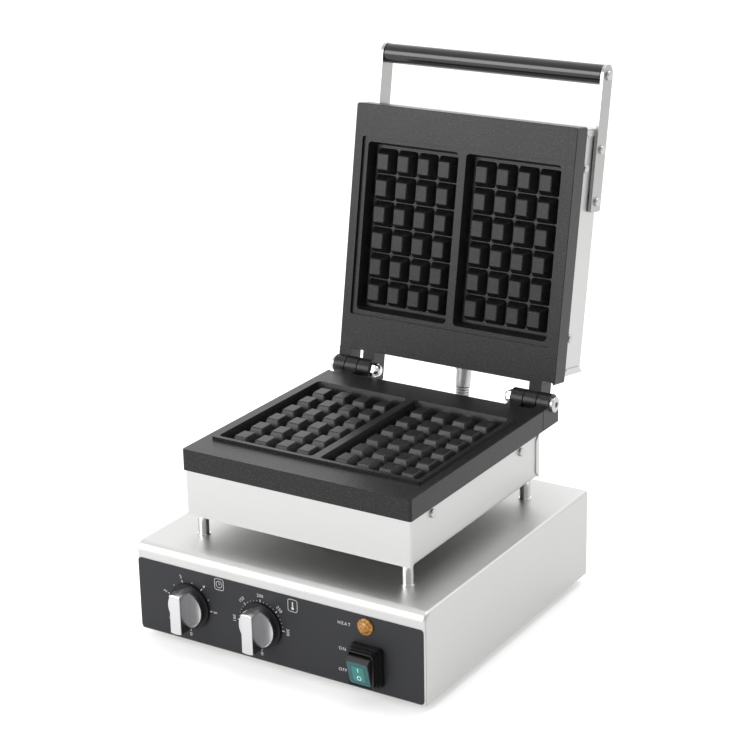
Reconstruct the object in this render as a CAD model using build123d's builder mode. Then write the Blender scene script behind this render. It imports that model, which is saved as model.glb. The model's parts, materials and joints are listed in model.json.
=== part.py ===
"""Double waffle maker: a sheet-steel control base, a lower baking box on four legs and a hinged upper
baking box with a bar handle. Millimetres, +Z up, +Y to the back. The functions measure from the floor
under the middle of the base; save() moves each piece to the shared frame, whose origin is on the floor
under the middle of the whole appliance with its lid open. The lid stands open at its stop."""
from math import cos, radians, sin, tan
import os

from build123d import *

os.makedirs("parts", exist_ok=True)

# ---- Driving dimensions --------------------------------------------------------------------------
# Control base
base_width = 300
base_depth = 300
foot_height = 8
base_height = 85
base_sheet = 1.2
base_front_bend = 8
base_side_bend = 3
seam_inset = 1.6
tray_bottom = 8.6
tray_sheet = 1.2
foot_x = 112
foot_y = 124
foot_diameter = 26
rear_screw_pitch = 278
rear_screw_z = 50
lip_x = 139.9
duct_y = 100
duct_diameter = 16

# Legs between the base and the lower box
leg_height = 20.5
leg_x = 107
leg_y = 106
leg_diameter = 10
leg_bolt_diameter = 5

# Hinge
hinge_y = 138
open_angle = 100
# The shared frame's origin lies this far behind the middle of the base
frame_middle_y = 38.68
knuckle_radius = 9.5
pin_diameter = 8
pin_clearance = 0.05
outer_knuckle = (106, 118.25)
middle_knuckle = (92, 105)
inner_knuckle = (78, 91)
heel_length = 12.4
heel_drop = 9

# Cast baking plates, measured from the hinge axis: s runs away from the hinge, w towards the food
plate_width = 236.5
plate_thickness = 20
plate_gap = 1
plate_front = 256
plate_rear = 17
land_width = 217
land_depth = 172
land_height = 2.8
land_clearance = 0.8
cavity_width = 100
cavity_length = 164
cavity_depth = 12
cavity_draft = 15
cavity_spacing = 108
peg_columns = 4
peg_rows = 6
peg_pitch_x = 22.5
peg_pitch_y = 25.5
peg_gap = 0.8
peg_slope = 25
peg_below_face = 1

# Sheet-steel boxes behind the plates
box_width = 234
box_length = 232
box_sheet = 1.0
box_flange = 7
lower_box_height = 43.5
upper_box_height = 38
box_screw_pitch = 159
box_screw_drop = 6.5
box_screw_diameter = 4

# Clamp bolts that press each heating element to its plate
clamp_bolt_diameter = 6
clamp_bolt_engagement = 8
clamp_bolt_pitch = 100

# Handle
arm_width = 20
arm_thickness = 3
arm_offset = 50
arm_low_end = 176.5
grip_distance = 303
grip_diameter = 19
arm_screw_diameter = 5
arm_nut_diameter = 7
grip_screw_diameter = 5

# Controls on the front panel
overlay_thickness = 0.5
dial_height = 43
timer_x = -93
thermostat_x = -16
knob_skirt_diameter = 43
knob_diameter = 36
knob_bar_width = 11.5
knob_bar_length = 38
knob_depth = 22
shaft_diameter = 6
shaft_engagement = 20
timer_size = (46, 38, 46)
thermostat_size = (38, 34, 42)
switch_x = 93.5
switch_z = 33.5
rocker_width = 21.4
rocker_height = 24.6
rocker_tilt = 14
lamp_x = 92
lamp_z = 68.5
lamp_diameter = 15.5

# Lid wiring conduit and cord gland at the back
conduit_diameter = 14
conduit_gland_z = 60
conduit_offset = 42
cord_gland_x = -95
cord_gland_z = 40
cord_hole_diameter = 8.5
collar_length = 14
ferrule_length = 16

# ---- Worked-out dimensions -----------------------------------------------------------------------
base_top = foot_height + base_height
base_front = -base_depth / 2
base_back = base_depth / 2
box_bottom = base_top + leg_height
hinge_z = box_bottom + lower_box_height + plate_thickness + plate_gap
plate_back = -plate_gap - plate_thickness
panel_face = base_front - overlay_thickness
knob_skirt_face = panel_face - 3
knob_disc_face = knob_skirt_face - 5
knob_face = panel_face - knob_depth
side_wall = box_width / 2 - box_sheet
boss_face = side_wall - box_sheet - 0.2
arm_inner = box_width / 2
thermostat_body_top = dial_height + thermostat_size[2] / 2
fit = 0.05
box_screw_places = (hinge_y - box_screw_pitch / 2, hinge_y + box_screw_pitch / 2)
clamp_bolt_places = (hinge_y - clamp_bolt_pitch / 2, hinge_y + clamp_bolt_pitch / 2)
arm_screw_places = (186, 234.6)

lower_half = Plane(origin=(0, hinge_y, hinge_z), x_dir=(-1, 0, 0), z_dir=(0, 0, 1))
upper_half = Plane(
    origin=(0, hinge_y, hinge_z),
    x_dir=(1, 0, 0),
    z_dir=(0, -sin(radians(open_angle)), -cos(radians(open_angle))),
)


# ---- Helpers -------------------------------------------------------------------------------------
def save(part, label):
    """Label one finished sub-part, move it to the shared frame and write its STEP file."""
    placed = part.moved(Location((0, -frame_middle_y, 0)))
    placed.label = label
    export_step(placed, f"parts/{label}.step")


def across(half, u):
    """Plane square to the hinge axis at u: its x is s, its y is w and it faces +u."""
    origin = half.from_local_coords((u, 0, 0))
    return Plane(origin=origin, x_dir=half.y_dir, z_dir=half.x_dir)


def facing_hinge(half, s):
    """Plane square to the half at s: its x is u, its y is w and it faces the hinge."""
    origin = half.from_local_coords((0, s, 0))
    return Plane(origin=origin, x_dir=half.x_dir, z_dir=-half.y_dir)


def front_plane(y):
    """Plane square to Y that faces the user: its x is X and its y is Z."""
    return Plane(origin=(0, y, 0), x_dir=(1, 0, 0), z_dir=(0, -1, 0))


def side_plane(x):
    """Plane square to X that faces +X: its x is Y and its y is Z."""
    return Plane(origin=(x, 0, 0), x_dir=(0, 1, 0), z_dir=(1, 0, 0))


def edges_near(part, axis, **place):
    """Edges parallel to an axis whose middle is at the given x, y or z."""
    found = part.edges().filter_by(axis)
    for name, value in place.items():
        found = found.filter_by(lambda e, n=name, v=value: abs(getattr(e.center(), n) - v) < 0.01)
    return found


# ---- Control base --------------------------------------------------------------------------------
def make_base_shell():
    """Top, front and two sides folded from one sheet, open below and behind."""
    inner_top = base_top - base_sheet
    inner_side = base_width / 2 - base_sheet
    inner_front = base_front + base_sheet
    with BuildPart() as hollow:
        with BuildSketch(Plane.XY.offset(foot_height)):
            with Locations((0, base_sheet)):
                Rectangle(2 * inner_side, base_depth)
        extrude(amount=base_height - base_sheet)
        fillet(edges_near(hollow, Axis.X, Y=inner_front, Z=inner_top), base_front_bend - base_sheet)
        fillet(edges_near(hollow, Axis.Y, Z=inner_top), base_side_bend - base_sheet)

    with BuildPart() as shell:
        with BuildSketch(Plane.XY.offset(foot_height)):
            Rectangle(base_width, base_depth)
        extrude(amount=base_height)
        fillet(edges_near(shell, Axis.X, Y=base_front, Z=base_top), base_front_bend)
        side_edges = edges_near(shell, Axis.Y, Z=base_top)
        fillet(side_edges, base_side_bend)
        add(hollow.part, mode=Mode.SUBTRACT)
        # lips behind the back panel's side edges, and corner tabs above the bottom plate
        with BuildSketch(front_plane(base_back - base_sheet - 0.3)):
            with Locations((-lip_x, rear_screw_z), (lip_x, rear_screw_z)):
                Rectangle(18, 76)
        extrude(amount=base_sheet)
        with BuildSketch(Plane.XY.offset(tray_bottom + tray_sheet)):
            with GridLocations(2 * (inner_side - 24), 2 * foot_y, 2, 2):
                Rectangle(48.2, 36)
        extrude(amount=base_sheet)
        with BuildSketch(front_plane(base_back)):
            with Locations((0, rear_screw_z)):
                with GridLocations(rear_screw_pitch, 56, 2, 2):
                    Circle(1.85)
        extrude(amount=6, mode=Mode.SUBTRACT)
        with BuildSketch(Plane.XY.offset(foot_height)):
            with GridLocations(2 * foot_x, 2 * foot_y, 2, 2):
                Circle(2.05)
        extrude(amount=5, mode=Mode.SUBTRACT)
        # dial shafts, rocker switch and pilot lamp in the front wall
        with BuildSketch(front_plane(base_front)):
            with Locations((timer_x, dial_height), (thermostat_x, dial_height)):
                Circle(5.2)
            with Locations((switch_x, switch_z)):
                Rectangle(26.4, 29.4)
            with Locations((lamp_x, lamp_z)):
                Circle(6.1)
        extrude(amount=-3, mode=Mode.SUBTRACT)
        # leg bolts and the wiring duct in the top
        with BuildSketch(Plane.XY.offset(base_top)):
            with GridLocations(2 * leg_x, 2 * leg_y, 2, 2):
                Circle(leg_bolt_diameter / 2 + 0.2)
            with Locations((0, duct_y)):
                Circle(duct_diameter / 2 - 2)
        extrude(amount=-3, mode=Mode.SUBTRACT)
        # the folded side walls butt against the front wall: a fine seam follows its bend
        seam_radius = base_front_bend - seam_inset
        bend_y = base_front + base_front_bend
        bend_z = base_top - base_front_bend
        seam_low = (base_front + seam_inset, foot_height)
        seam_start = (base_front + seam_inset, bend_z)
        seam_middle = (bend_y - seam_radius * cos(radians(45)), bend_z + seam_radius * sin(radians(45)))
        seam_end = (bend_y, base_top - seam_inset)
        for side in (-1, 1):
            with BuildSketch(side_plane(side * base_width / 2)):
                with BuildLine():
                    Line(seam_low, seam_start)
                    ThreePointArc(seam_start, seam_middle, seam_end)
                trace(line_width=0.5)
            extrude(amount=-side * 0.6, mode=Mode.SUBTRACT)
    save(shell.part, "base_shell")


def make_rear_panel():
    """Flat back panel with the cord gland hole, the conduit hole and cooling slots, and its screws."""
    clearance = 0.2
    half_width = base_width / 2 - base_sheet - clearance
    bottom = foot_height + 2.2
    top = base_top - base_sheet - clearance
    with BuildPart() as panel:
        with BuildSketch(front_plane(base_back)):
            with Locations((0, (bottom + top) / 2)):
                RectangleRounded(2 * half_width, top - bottom, 1.8)
            with Locations((cord_gland_x, cord_gland_z)):
                Circle(10.1, mode=Mode.SUBTRACT)
            with Locations((0, conduit_gland_z)):
                Circle(8.2, mode=Mode.SUBTRACT)
            with Locations((80, 52)):
                with GridLocations(0, 7, 1, 6):
                    SlotOverall(60, 3, mode=Mode.SUBTRACT)
            with Locations((0, rear_screw_z)):
                with GridLocations(rear_screw_pitch, 56, 2, 2):
                    Circle(1.9, mode=Mode.SUBTRACT)
        extrude(amount=base_sheet)
    save(panel.part, "rear_panel")

    with BuildPart() as screws:
        with BuildSketch(front_plane(base_back)):
            with Locations((0, rear_screw_z)):
                with GridLocations(rear_screw_pitch, 56, 2, 2):
                    Circle(3.4)
        extrude(amount=-2)
        fillet(screws.faces().sort_by(Axis.Y)[-4:].edges(), 1.2)
        with BuildSketch(front_plane(base_back)):
            with Locations((0, rear_screw_z)):
                with GridLocations(rear_screw_pitch, 56, 2, 2):
                    Circle(1.8)
        extrude(amount=6)
    save(screws.part, "rear_panel_screws")


def make_bottom_plate():
    """Tray that closes the base from below, with cooling slots and the four feet screwed to it."""
    half_width = base_width / 2 - base_sheet - 0.3
    front = base_front + base_sheet + 0.3
    back = base_back - base_sheet - 0.3
    with BuildPart() as tray:
        with BuildSketch(Plane.XY.offset(tray_bottom)):
            with Locations((0, (front + back) / 2)):
                RectangleRounded(2 * half_width, back - front, 2)
        extrude(amount=tray_sheet)
        with BuildSketch(Plane.XY.offset(tray_bottom)):
            with Locations((0, 0)):
                with GridLocations(0, 9, 1, 8):
                    SlotOverall(90, 3)
            with GridLocations(2 * foot_x, 2 * foot_y, 2, 2):
                Circle(2.1)
        extrude(amount=tray_sheet, mode=Mode.SUBTRACT)
    save(tray.part, "bottom_plate")

    with BuildPart() as feet:
        with BuildSketch(Plane.XY):
            with GridLocations(2 * foot_x, 2 * foot_y, 2, 2):
                Circle(foot_diameter / 2)
        extrude(amount=tray_bottom, taper=-4)
        fillet(feet.faces().sort_by(Axis.Z)[:4].edges(), 1.2)
        with BuildSketch(Plane.XY):
            with GridLocations(2 * foot_x, 2 * foot_y, 2, 2):
                Circle(4.2)
        extrude(amount=4, mode=Mode.SUBTRACT)
        with BuildSketch(Plane.XY):
            with GridLocations(2 * foot_x, 2 * foot_y, 2, 2):
                Circle(2.1)
        extrude(amount=tray_bottom, mode=Mode.SUBTRACT)
    save(feet.part, "feet")

    with BuildPart() as screws:
        with BuildSketch(Plane.XY.offset(1.2)):
            with GridLocations(2 * foot_x, 2 * foot_y, 2, 2):
                Circle(3.8)
        extrude(amount=2.8)
        with BuildSketch(Plane.XY.offset(4)):
            with GridLocations(2 * foot_x, 2 * foot_y, 2, 2):
                Circle(2)
        extrude(amount=tray_bottom + tray_sheet + 5 - 4)
    save(screws.part, "foot_screws")


def make_overlay():
    """Printed front panel foil."""
    low = foot_height + 1
    high = base_top - base_front_bend - 6.5
    with BuildPart() as overlay:
        with BuildSketch(front_plane(base_front)):
            with Locations((0, (low + high) / 2)):
                RectangleRounded(base_width - 3, high - low, 3.5)
            with Locations((timer_x, dial_height), (thermostat_x, dial_height)):
                Circle(5.2, mode=Mode.SUBTRACT)
            with Locations((switch_x, switch_z)):
                Rectangle(26.4, 29.4, mode=Mode.SUBTRACT)
            with Locations((lamp_x, lamp_z)):
                Circle(6.1, mode=Mode.SUBTRACT)
        extrude(amount=overlay_thickness)
    save(overlay.part, "front_overlay")


# ---- Legs ----------------------------------------------------------------------------------------
def make_legs():
    """Four tube stand-offs with a thin rim at the foot, the bolts and nuts that clamp them between the
    base and the lower box, and the duct for the heater leads."""
    ring_height = 1
    bolt_hole = leg_bolt_diameter + 0.4
    with BuildPart() as legs:
        with BuildSketch(Plane.XY.offset(base_top)):
            with GridLocations(2 * leg_x, 2 * leg_y, 2, 2):
                Circle(leg_diameter / 2 + 0.9)
        extrude(amount=ring_height)
        with BuildSketch(Plane.XY.offset(base_top + ring_height)):
            with GridLocations(2 * leg_x, 2 * leg_y, 2, 2):
                Circle(leg_diameter / 2)
        extrude(amount=leg_height - ring_height)
        with BuildSketch(Plane.XY.offset(base_top)):
            with GridLocations(2 * leg_x, 2 * leg_y, 2, 2):
                Circle(bolt_hole / 2)
        extrude(amount=leg_height, mode=Mode.SUBTRACT)
    save(legs.part, "legs")

    head_top = base_top - base_sheet
    bolt_end = box_bottom + base_sheet + 6
    with BuildPart() as bolts:
        with BuildSketch(Plane.XY.offset(head_top - 4)):
            with GridLocations(2 * leg_x, 2 * leg_y, 2, 2):
                RegularPolygon(4.6, 6)
        extrude(amount=4)
        with BuildSketch(Plane.XY.offset(head_top)):
            with GridLocations(2 * leg_x, 2 * leg_y, 2, 2):
                Circle(leg_bolt_diameter / 2)
        extrude(amount=bolt_end - head_top)
    save(bolts.part, "leg_bolts")

    with BuildPart() as nuts:
        with BuildSketch(Plane.XY.offset(box_bottom + base_sheet)):
            with GridLocations(2 * leg_x, 2 * leg_y, 2, 2):
                RegularPolygon(4.6, 6)
                Circle(leg_bolt_diameter / 2 + fit, mode=Mode.SUBTRACT)
        extrude(amount=4)
    save(nuts.part, "leg_nuts")

    with BuildPart() as duct:
        with BuildSketch(Plane.XY.offset(base_top)):
            with Locations((0, duct_y)):
                Circle(duct_diameter / 2)
                Circle(duct_diameter / 2 - 2, mode=Mode.SUBTRACT)
        extrude(amount=leg_height)
    save(duct.part, "wiring_duct")


# ---- Baking plates -------------------------------------------------------------------------------
def make_peg():
    """One tapered waffle peg with a small chamfer round its top, standing on the origin."""
    height = cavity_depth - peg_below_face
    bevel = 0.6
    base_x = peg_pitch_x - peg_gap
    base_y = peg_pitch_y - peg_gap
    narrowing = 2 * (height - bevel) * tan(radians(peg_slope))
    with BuildPart() as peg:
        with BuildSketch(Plane.XY):
            RectangleRounded(base_x, base_y, 3.2)
        with BuildSketch(Plane.XY.offset(height - bevel)):
            RectangleRounded(base_x - narrowing, base_y - narrowing, 1)
        loft(ruled=True)
        top = peg.faces().sort_by(Axis.Z)[-1]
        chamfer(top.edges(), bevel)
    return peg.part


def make_plate(half, label, raised):
    """Cast baking plate with two waffle cavities, hinge knuckles and fixing bosses. The lower plate
    has a raised land round its cavities and the upper one a matching recess."""
    face = -plate_gap
    land_face = face + land_height if raised else face - land_height
    knuckles = (
        (-outer_knuckle[1], -outer_knuckle[0]),
        (-inner_knuckle[1], -inner_knuckle[0]),
        middle_knuckle,
    )
    peg = make_peg()
    with BuildPart(half) as plate:
        with BuildSketch(half.offset(plate_back)):
            with Locations((0, (plate_rear + plate_front) / 2)):
                RectangleRounded(plate_width, plate_front - plate_rear, 2.5)
        extrude(amount=plate_thickness)
        chamfer(plate.faces().sort_by(Axis(half.origin, half.z_dir))[-1].edges(), 0.5)

        # two knuckles on one side and the middle one on the other, each on its heel of casting
        for start, stop in knuckles:
            with BuildSketch(across(half, start)):
                Circle(knuckle_radius)
                with BuildLine():
                    Polyline(
                        (plate_rear + 1, plate_back),
                        (plate_rear + 1, -plate_gap),
                        (-knuckle_radius, -plate_gap),
                        (-heel_length, -heel_drop),
                        (-heel_length, plate_back),
                        close=True,
                    )
                make_face()
            extrude(amount=stop - start)
        # notch over the other plate's outer knuckle
        with BuildSketch(half.offset(plate_back)):
            with Locations((outer_knuckle[0] + 4.6, plate_rear)):
                RectangleRounded(11.6, 5, 2)
        extrude(amount=plate_thickness, mode=Mode.SUBTRACT)

        if raised:
            with BuildSketch(half.offset(face)):
                with Locations((0, hinge_y)):
                    RectangleRounded(land_width, land_depth, 1.5)
            extrude(amount=land_height)
        else:
            with BuildSketch(half.offset(land_face)):
                with Locations((0, hinge_y)):
                    spare = 2 * land_clearance
                    RectangleRounded(land_width + spare, land_depth + spare, 2)
            extrude(amount=land_height, mode=Mode.SUBTRACT)

        with BuildSketch(half.offset(land_face)):
            with Locations((-cavity_spacing / 2, hinge_y), (cavity_spacing / 2, hinge_y)):
                RectangleRounded(cavity_width, cavity_length, 3.8)
        extrude(amount=-cavity_depth, taper=cavity_draft, mode=Mode.SUBTRACT)

        # bosses for the box screws at the sides
        for side in (-1, 1):
            boss_plane = across(half, side * boss_face)
            with BuildSketch(boss_plane):
                with Locations(*[(s, plate_back - 6.5) for s in box_screw_places]):
                    Rectangle(14, 15)
            extrude(amount=-side * 8)
            with BuildSketch(boss_plane):
                with Locations(*[(s, plate_back - box_screw_drop) for s in box_screw_places]):
                    Circle(box_screw_diameter / 2 + fit)
            extrude(amount=-side * 8, mode=Mode.SUBTRACT)
        # blind holes for the two clamp bolts
        with BuildSketch(half.offset(plate_back)):
            with Locations(*[(0, s) for s in clamp_bolt_places]):
                Circle(clamp_bolt_diameter / 2 + fit)
        extrude(amount=clamp_bolt_engagement, mode=Mode.SUBTRACT)

        # hinge pin bores
        for side in (-1, 1):
            with BuildSketch(across(half, side * (inner_knuckle[0] - 2))):
                Circle(pin_diameter / 2 + pin_clearance)
            bore_length = outer_knuckle[1] - inner_knuckle[0] + 4
            extrude(amount=side * bore_length, mode=Mode.SUBTRACT)

        with Locations(
            (-cavity_spacing / 2, hinge_y, land_face - cavity_depth),
            (cavity_spacing / 2, hinge_y, land_face - cavity_depth),
        ):
            with GridLocations(peg_pitch_x, peg_pitch_y, peg_columns, peg_rows):
                add(peg)
    save(plate.part, label)


def make_hinge_pins():
    """Hinge bolt through each set of three knuckles and the domed nut on its inner end."""
    head_height = 4
    with BuildPart() as pins:
        for side in (-1, 1):
            with BuildSketch(across(lower_half, side * (outer_knuckle[1] + 0.1))):
                Circle(7.4)
            extrude(amount=side * head_height)
        head_rims = pins.edges().filter_by(GeomType.CIRCLE)
        outside = outer_knuckle[1] + head_height
        fillet(head_rims.filter_by(lambda e: abs(e.center().X) > outside), 1.4)
        for side in (-1, 1):
            with BuildSketch(across(lower_half, side * (outer_knuckle[1] + 0.1 + head_height))):
                RegularPolygon(2.9, 6)
            extrude(amount=-side * 2.2, mode=Mode.SUBTRACT)
            with BuildSketch(across(lower_half, side * (inner_knuckle[0] - 6))):
                Circle(pin_diameter / 2)
            extrude(amount=side * (outer_knuckle[1] - inner_knuckle[0] + 6.1))
    save(pins.part, "hinge_bolts")

    with BuildPart() as nuts:
        for side in (-1, 1):
            near = inner_knuckle[0] - 0.1
            with BuildSketch(across(lower_half, side * near)):
                RegularPolygon(7, 6)
            extrude(amount=-side * 4.6)
            dome = across(lower_half, side * (near - 4.6))
            with BuildSketch(dome):
                Circle(5.8)
            extrude(amount=-side * 4.6)
        tips = nuts.edges().filter_by(GeomType.CIRCLE)
        fillet(tips.filter_by(lambda e: abs(e.center().X) < inner_knuckle[0] - 9), 4.4)
        for side in (-1, 1):
            with BuildSketch(across(lower_half, side * (inner_knuckle[0] - 0.1))):
                Circle(pin_diameter / 2 + fit)
            extrude(amount=-side * 6.1, mode=Mode.SUBTRACT)
    save(nuts.part, "hinge_nuts")


# ---- Boxes behind the plates ---------------------------------------------------------------------
def make_box(half, name, height, is_lower):
    """Folded pan with two side walls, closed at both ends by flanged sheets."""
    floor = plate_back - height
    wall_top = plate_back - 0.2
    middle = hinge_y
    pan_length = box_length - 2 * box_sheet
    with BuildPart() as pan:
        with BuildSketch(facing_hinge(half, middle + pan_length / 2)):
            with Locations((0, (floor + wall_top) / 2)):
                Rectangle(2 * side_wall, wall_top - floor)
        extrude(amount=pan_length)
        low_edges = pan.edges().filter_by(Axis(half.origin, half.y_dir))
        low_edges = low_edges.sort_by(Axis(half.origin, half.z_dir))[:2]
        fillet(low_edges, 3)
        with BuildSketch(facing_hinge(half, middle + pan_length / 2)):
            with Locations((0, (floor + wall_top) / 2 + box_sheet)):
                Rectangle(2 * (side_wall - box_sheet), wall_top - floor)
        extrude(amount=pan_length, mode=Mode.SUBTRACT)
        # box screws through both side walls
        with BuildSketch(across(half, -side_wall)):
            with Locations(*[(s, plate_back - box_screw_drop) for s in box_screw_places]):
                Circle(box_screw_diameter / 2 + 0.2)
        extrude(amount=2 * side_wall, mode=Mode.SUBTRACT)
        if is_lower:
            with BuildSketch(half.offset(floor)):
                with Locations((0, middle)):
                    with GridLocations(2 * leg_x, 2 * leg_y, 2, 2):
                        Circle(leg_bolt_diameter / 2 + 0.2)
                with Locations((0, middle - duct_y)):
                    Circle(duct_diameter / 2 - 2)
            extrude(amount=2 * box_sheet, mode=Mode.SUBTRACT)
        else:
            with BuildSketch(across(half, -side_wall)):
                with Locations(*[(s, -arm_offset) for s in arm_screw_places]):
                    Circle(arm_nut_diameter / 2 + 0.1)
            extrude(amount=2 * side_wall, mode=Mode.SUBTRACT)
    save(pan.part, f"{name}_pan")

    ends = (("front_sheet", middle + box_length / 2, 1), ("rear_sheet", middle - box_length / 2, -1))
    for end_name, end_s, outward in ends:
        with BuildPart() as sheet:
            with BuildSketch(half.offset(floor)):
                with Locations((0, end_s - outward * box_flange / 2)):
                    Rectangle(box_width, box_flange)
            extrude(amount=height - 0.2)
            posts = sheet.edges().filter_by(Axis(half.origin, half.z_dir))
            outer_posts = posts.sort_by(Axis(half.origin, half.y_dir * outward))[-2:]
            fillet(outer_posts, 1.8)
            with BuildSketch(half.offset(floor)):
                with Locations((0, end_s - outward * (box_flange / 2 + box_sheet))):
                    Rectangle(2 * side_wall, box_flange)
            extrude(amount=height, mode=Mode.SUBTRACT)
            # the side flanges are cut back at a slant above and below
            with BuildSketch(across(half, -box_width / 2)):
                inner = end_s - outward * box_flange
                for level, slant in ((floor, 1), (wall_top, -1)):
                    with BuildLine():
                        Polyline(
                            (inner, level),
                            (inner + outward * 5, level),
                            (inner, level + slant * 6),
                            close=True,
                        )
                    make_face()
            extrude(amount=box_width, mode=Mode.SUBTRACT)
            if not is_lower and outward < 0:
                with BuildSketch(facing_hinge(half, end_s)):
                    with Locations((0, -conduit_offset)):
                        Circle(8.2)
                extrude(amount=2 * box_sheet, both=True, mode=Mode.SUBTRACT)
        save(sheet.part, f"{name}_{end_name}")

    with BuildPart() as screws:
        for side in (-1, 1):
            with BuildSketch(across(half, side * side_wall)):
                with Locations(*[(s, plate_back - box_screw_drop) for s in box_screw_places]):
                    Circle(4)
            extrude(amount=side * 2.8)
        rims = screws.edges().filter_by(GeomType.CIRCLE)
        fillet(rims.filter_by(lambda e: abs(e.center().X) > side_wall + 1), 1.6)
        for side in (-1, 1):
            with BuildSketch(across(half, side * side_wall)):
                with Locations(*[(s, plate_back - box_screw_drop) for s in box_screw_places]):
                    Circle(box_screw_diameter / 2)
            extrude(amount=-side * 8)
    save(screws.part, f"{name}_screws")


def make_heating(half, name, height):
    """Tubular heating element, the plate that clamps it, the two clamp bolts and the insulation."""
    element_radius = 3.25
    element_w = plate_back - element_radius - 0.1
    clamp_w = plate_back - 2 * element_radius - 0.3
    clamp_sheet = 2
    head_height = 5
    inner_u, outer_u = 32, 92
    near_s, far_s = 52, 222
    element_plane = half.offset(element_w)
    with BuildPart() as element:
        with BuildLine(element_plane):
            FilletPolyline(
                (-outer_u, near_s),
                (-outer_u, far_s),
                (-inner_u, far_s),
                (-inner_u, near_s + 20),
                (inner_u, near_s + 20),
                (inner_u, far_s),
                (outer_u, far_s),
                (outer_u, near_s),
                radius=24,
            )
        with BuildSketch(facing_hinge(half, near_s)):
            with Locations((-outer_u, element_w)):
                Circle(element_radius)
        sweep()
        for side in (-1, 1):
            with BuildSketch(facing_hinge(half, near_s)):
                with Locations((side * outer_u, element_w)):
                    Circle(1.5)
            extrude(amount=14)
    save(element.part, f"{name}_element")

    with BuildPart() as clamp:
        with BuildSketch(half.offset(clamp_w)):
            with Locations((0, hinge_y)):
                RectangleRounded(204, 180, 6)
            with Locations(*[(0, s) for s in clamp_bolt_places]):
                Circle(clamp_bolt_diameter / 2 + 0.3, mode=Mode.SUBTRACT)
        extrude(amount=-clamp_sheet)
    save(clamp.part, f"{name}_clamp_plate")

    # clamp bolts: hexagon heads under the clamp plate, threads in the casting
    bolt_head = clamp_w - clamp_sheet
    with BuildPart() as bolts:
        with BuildSketch(half.offset(bolt_head)):
            with Locations(*[(0, s) for s in clamp_bolt_places]):
                RegularPolygon(5.6, 6)
        extrude(amount=-head_height)
        with BuildSketch(half.offset(bolt_head)):
            with Locations(*[(0, s) for s in clamp_bolt_places]):
                Circle(clamp_bolt_diameter / 2)
        extrude(amount=plate_back + clamp_bolt_engagement - 0.5 - bolt_head)
    save(bolts.part, f"{name}_clamp_bolts")

    mat_top = bolt_head - head_height - 0.5
    mat_bottom = plate_back - height + box_sheet
    with BuildPart() as mat:
        with BuildSketch(half.offset(mat_bottom)):
            with Locations((0, hinge_y)):
                RectangleRounded(196, 188, 8)
        extrude(amount=mat_top - mat_bottom)
    save(mat.part, f"{name}_insulation")


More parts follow.
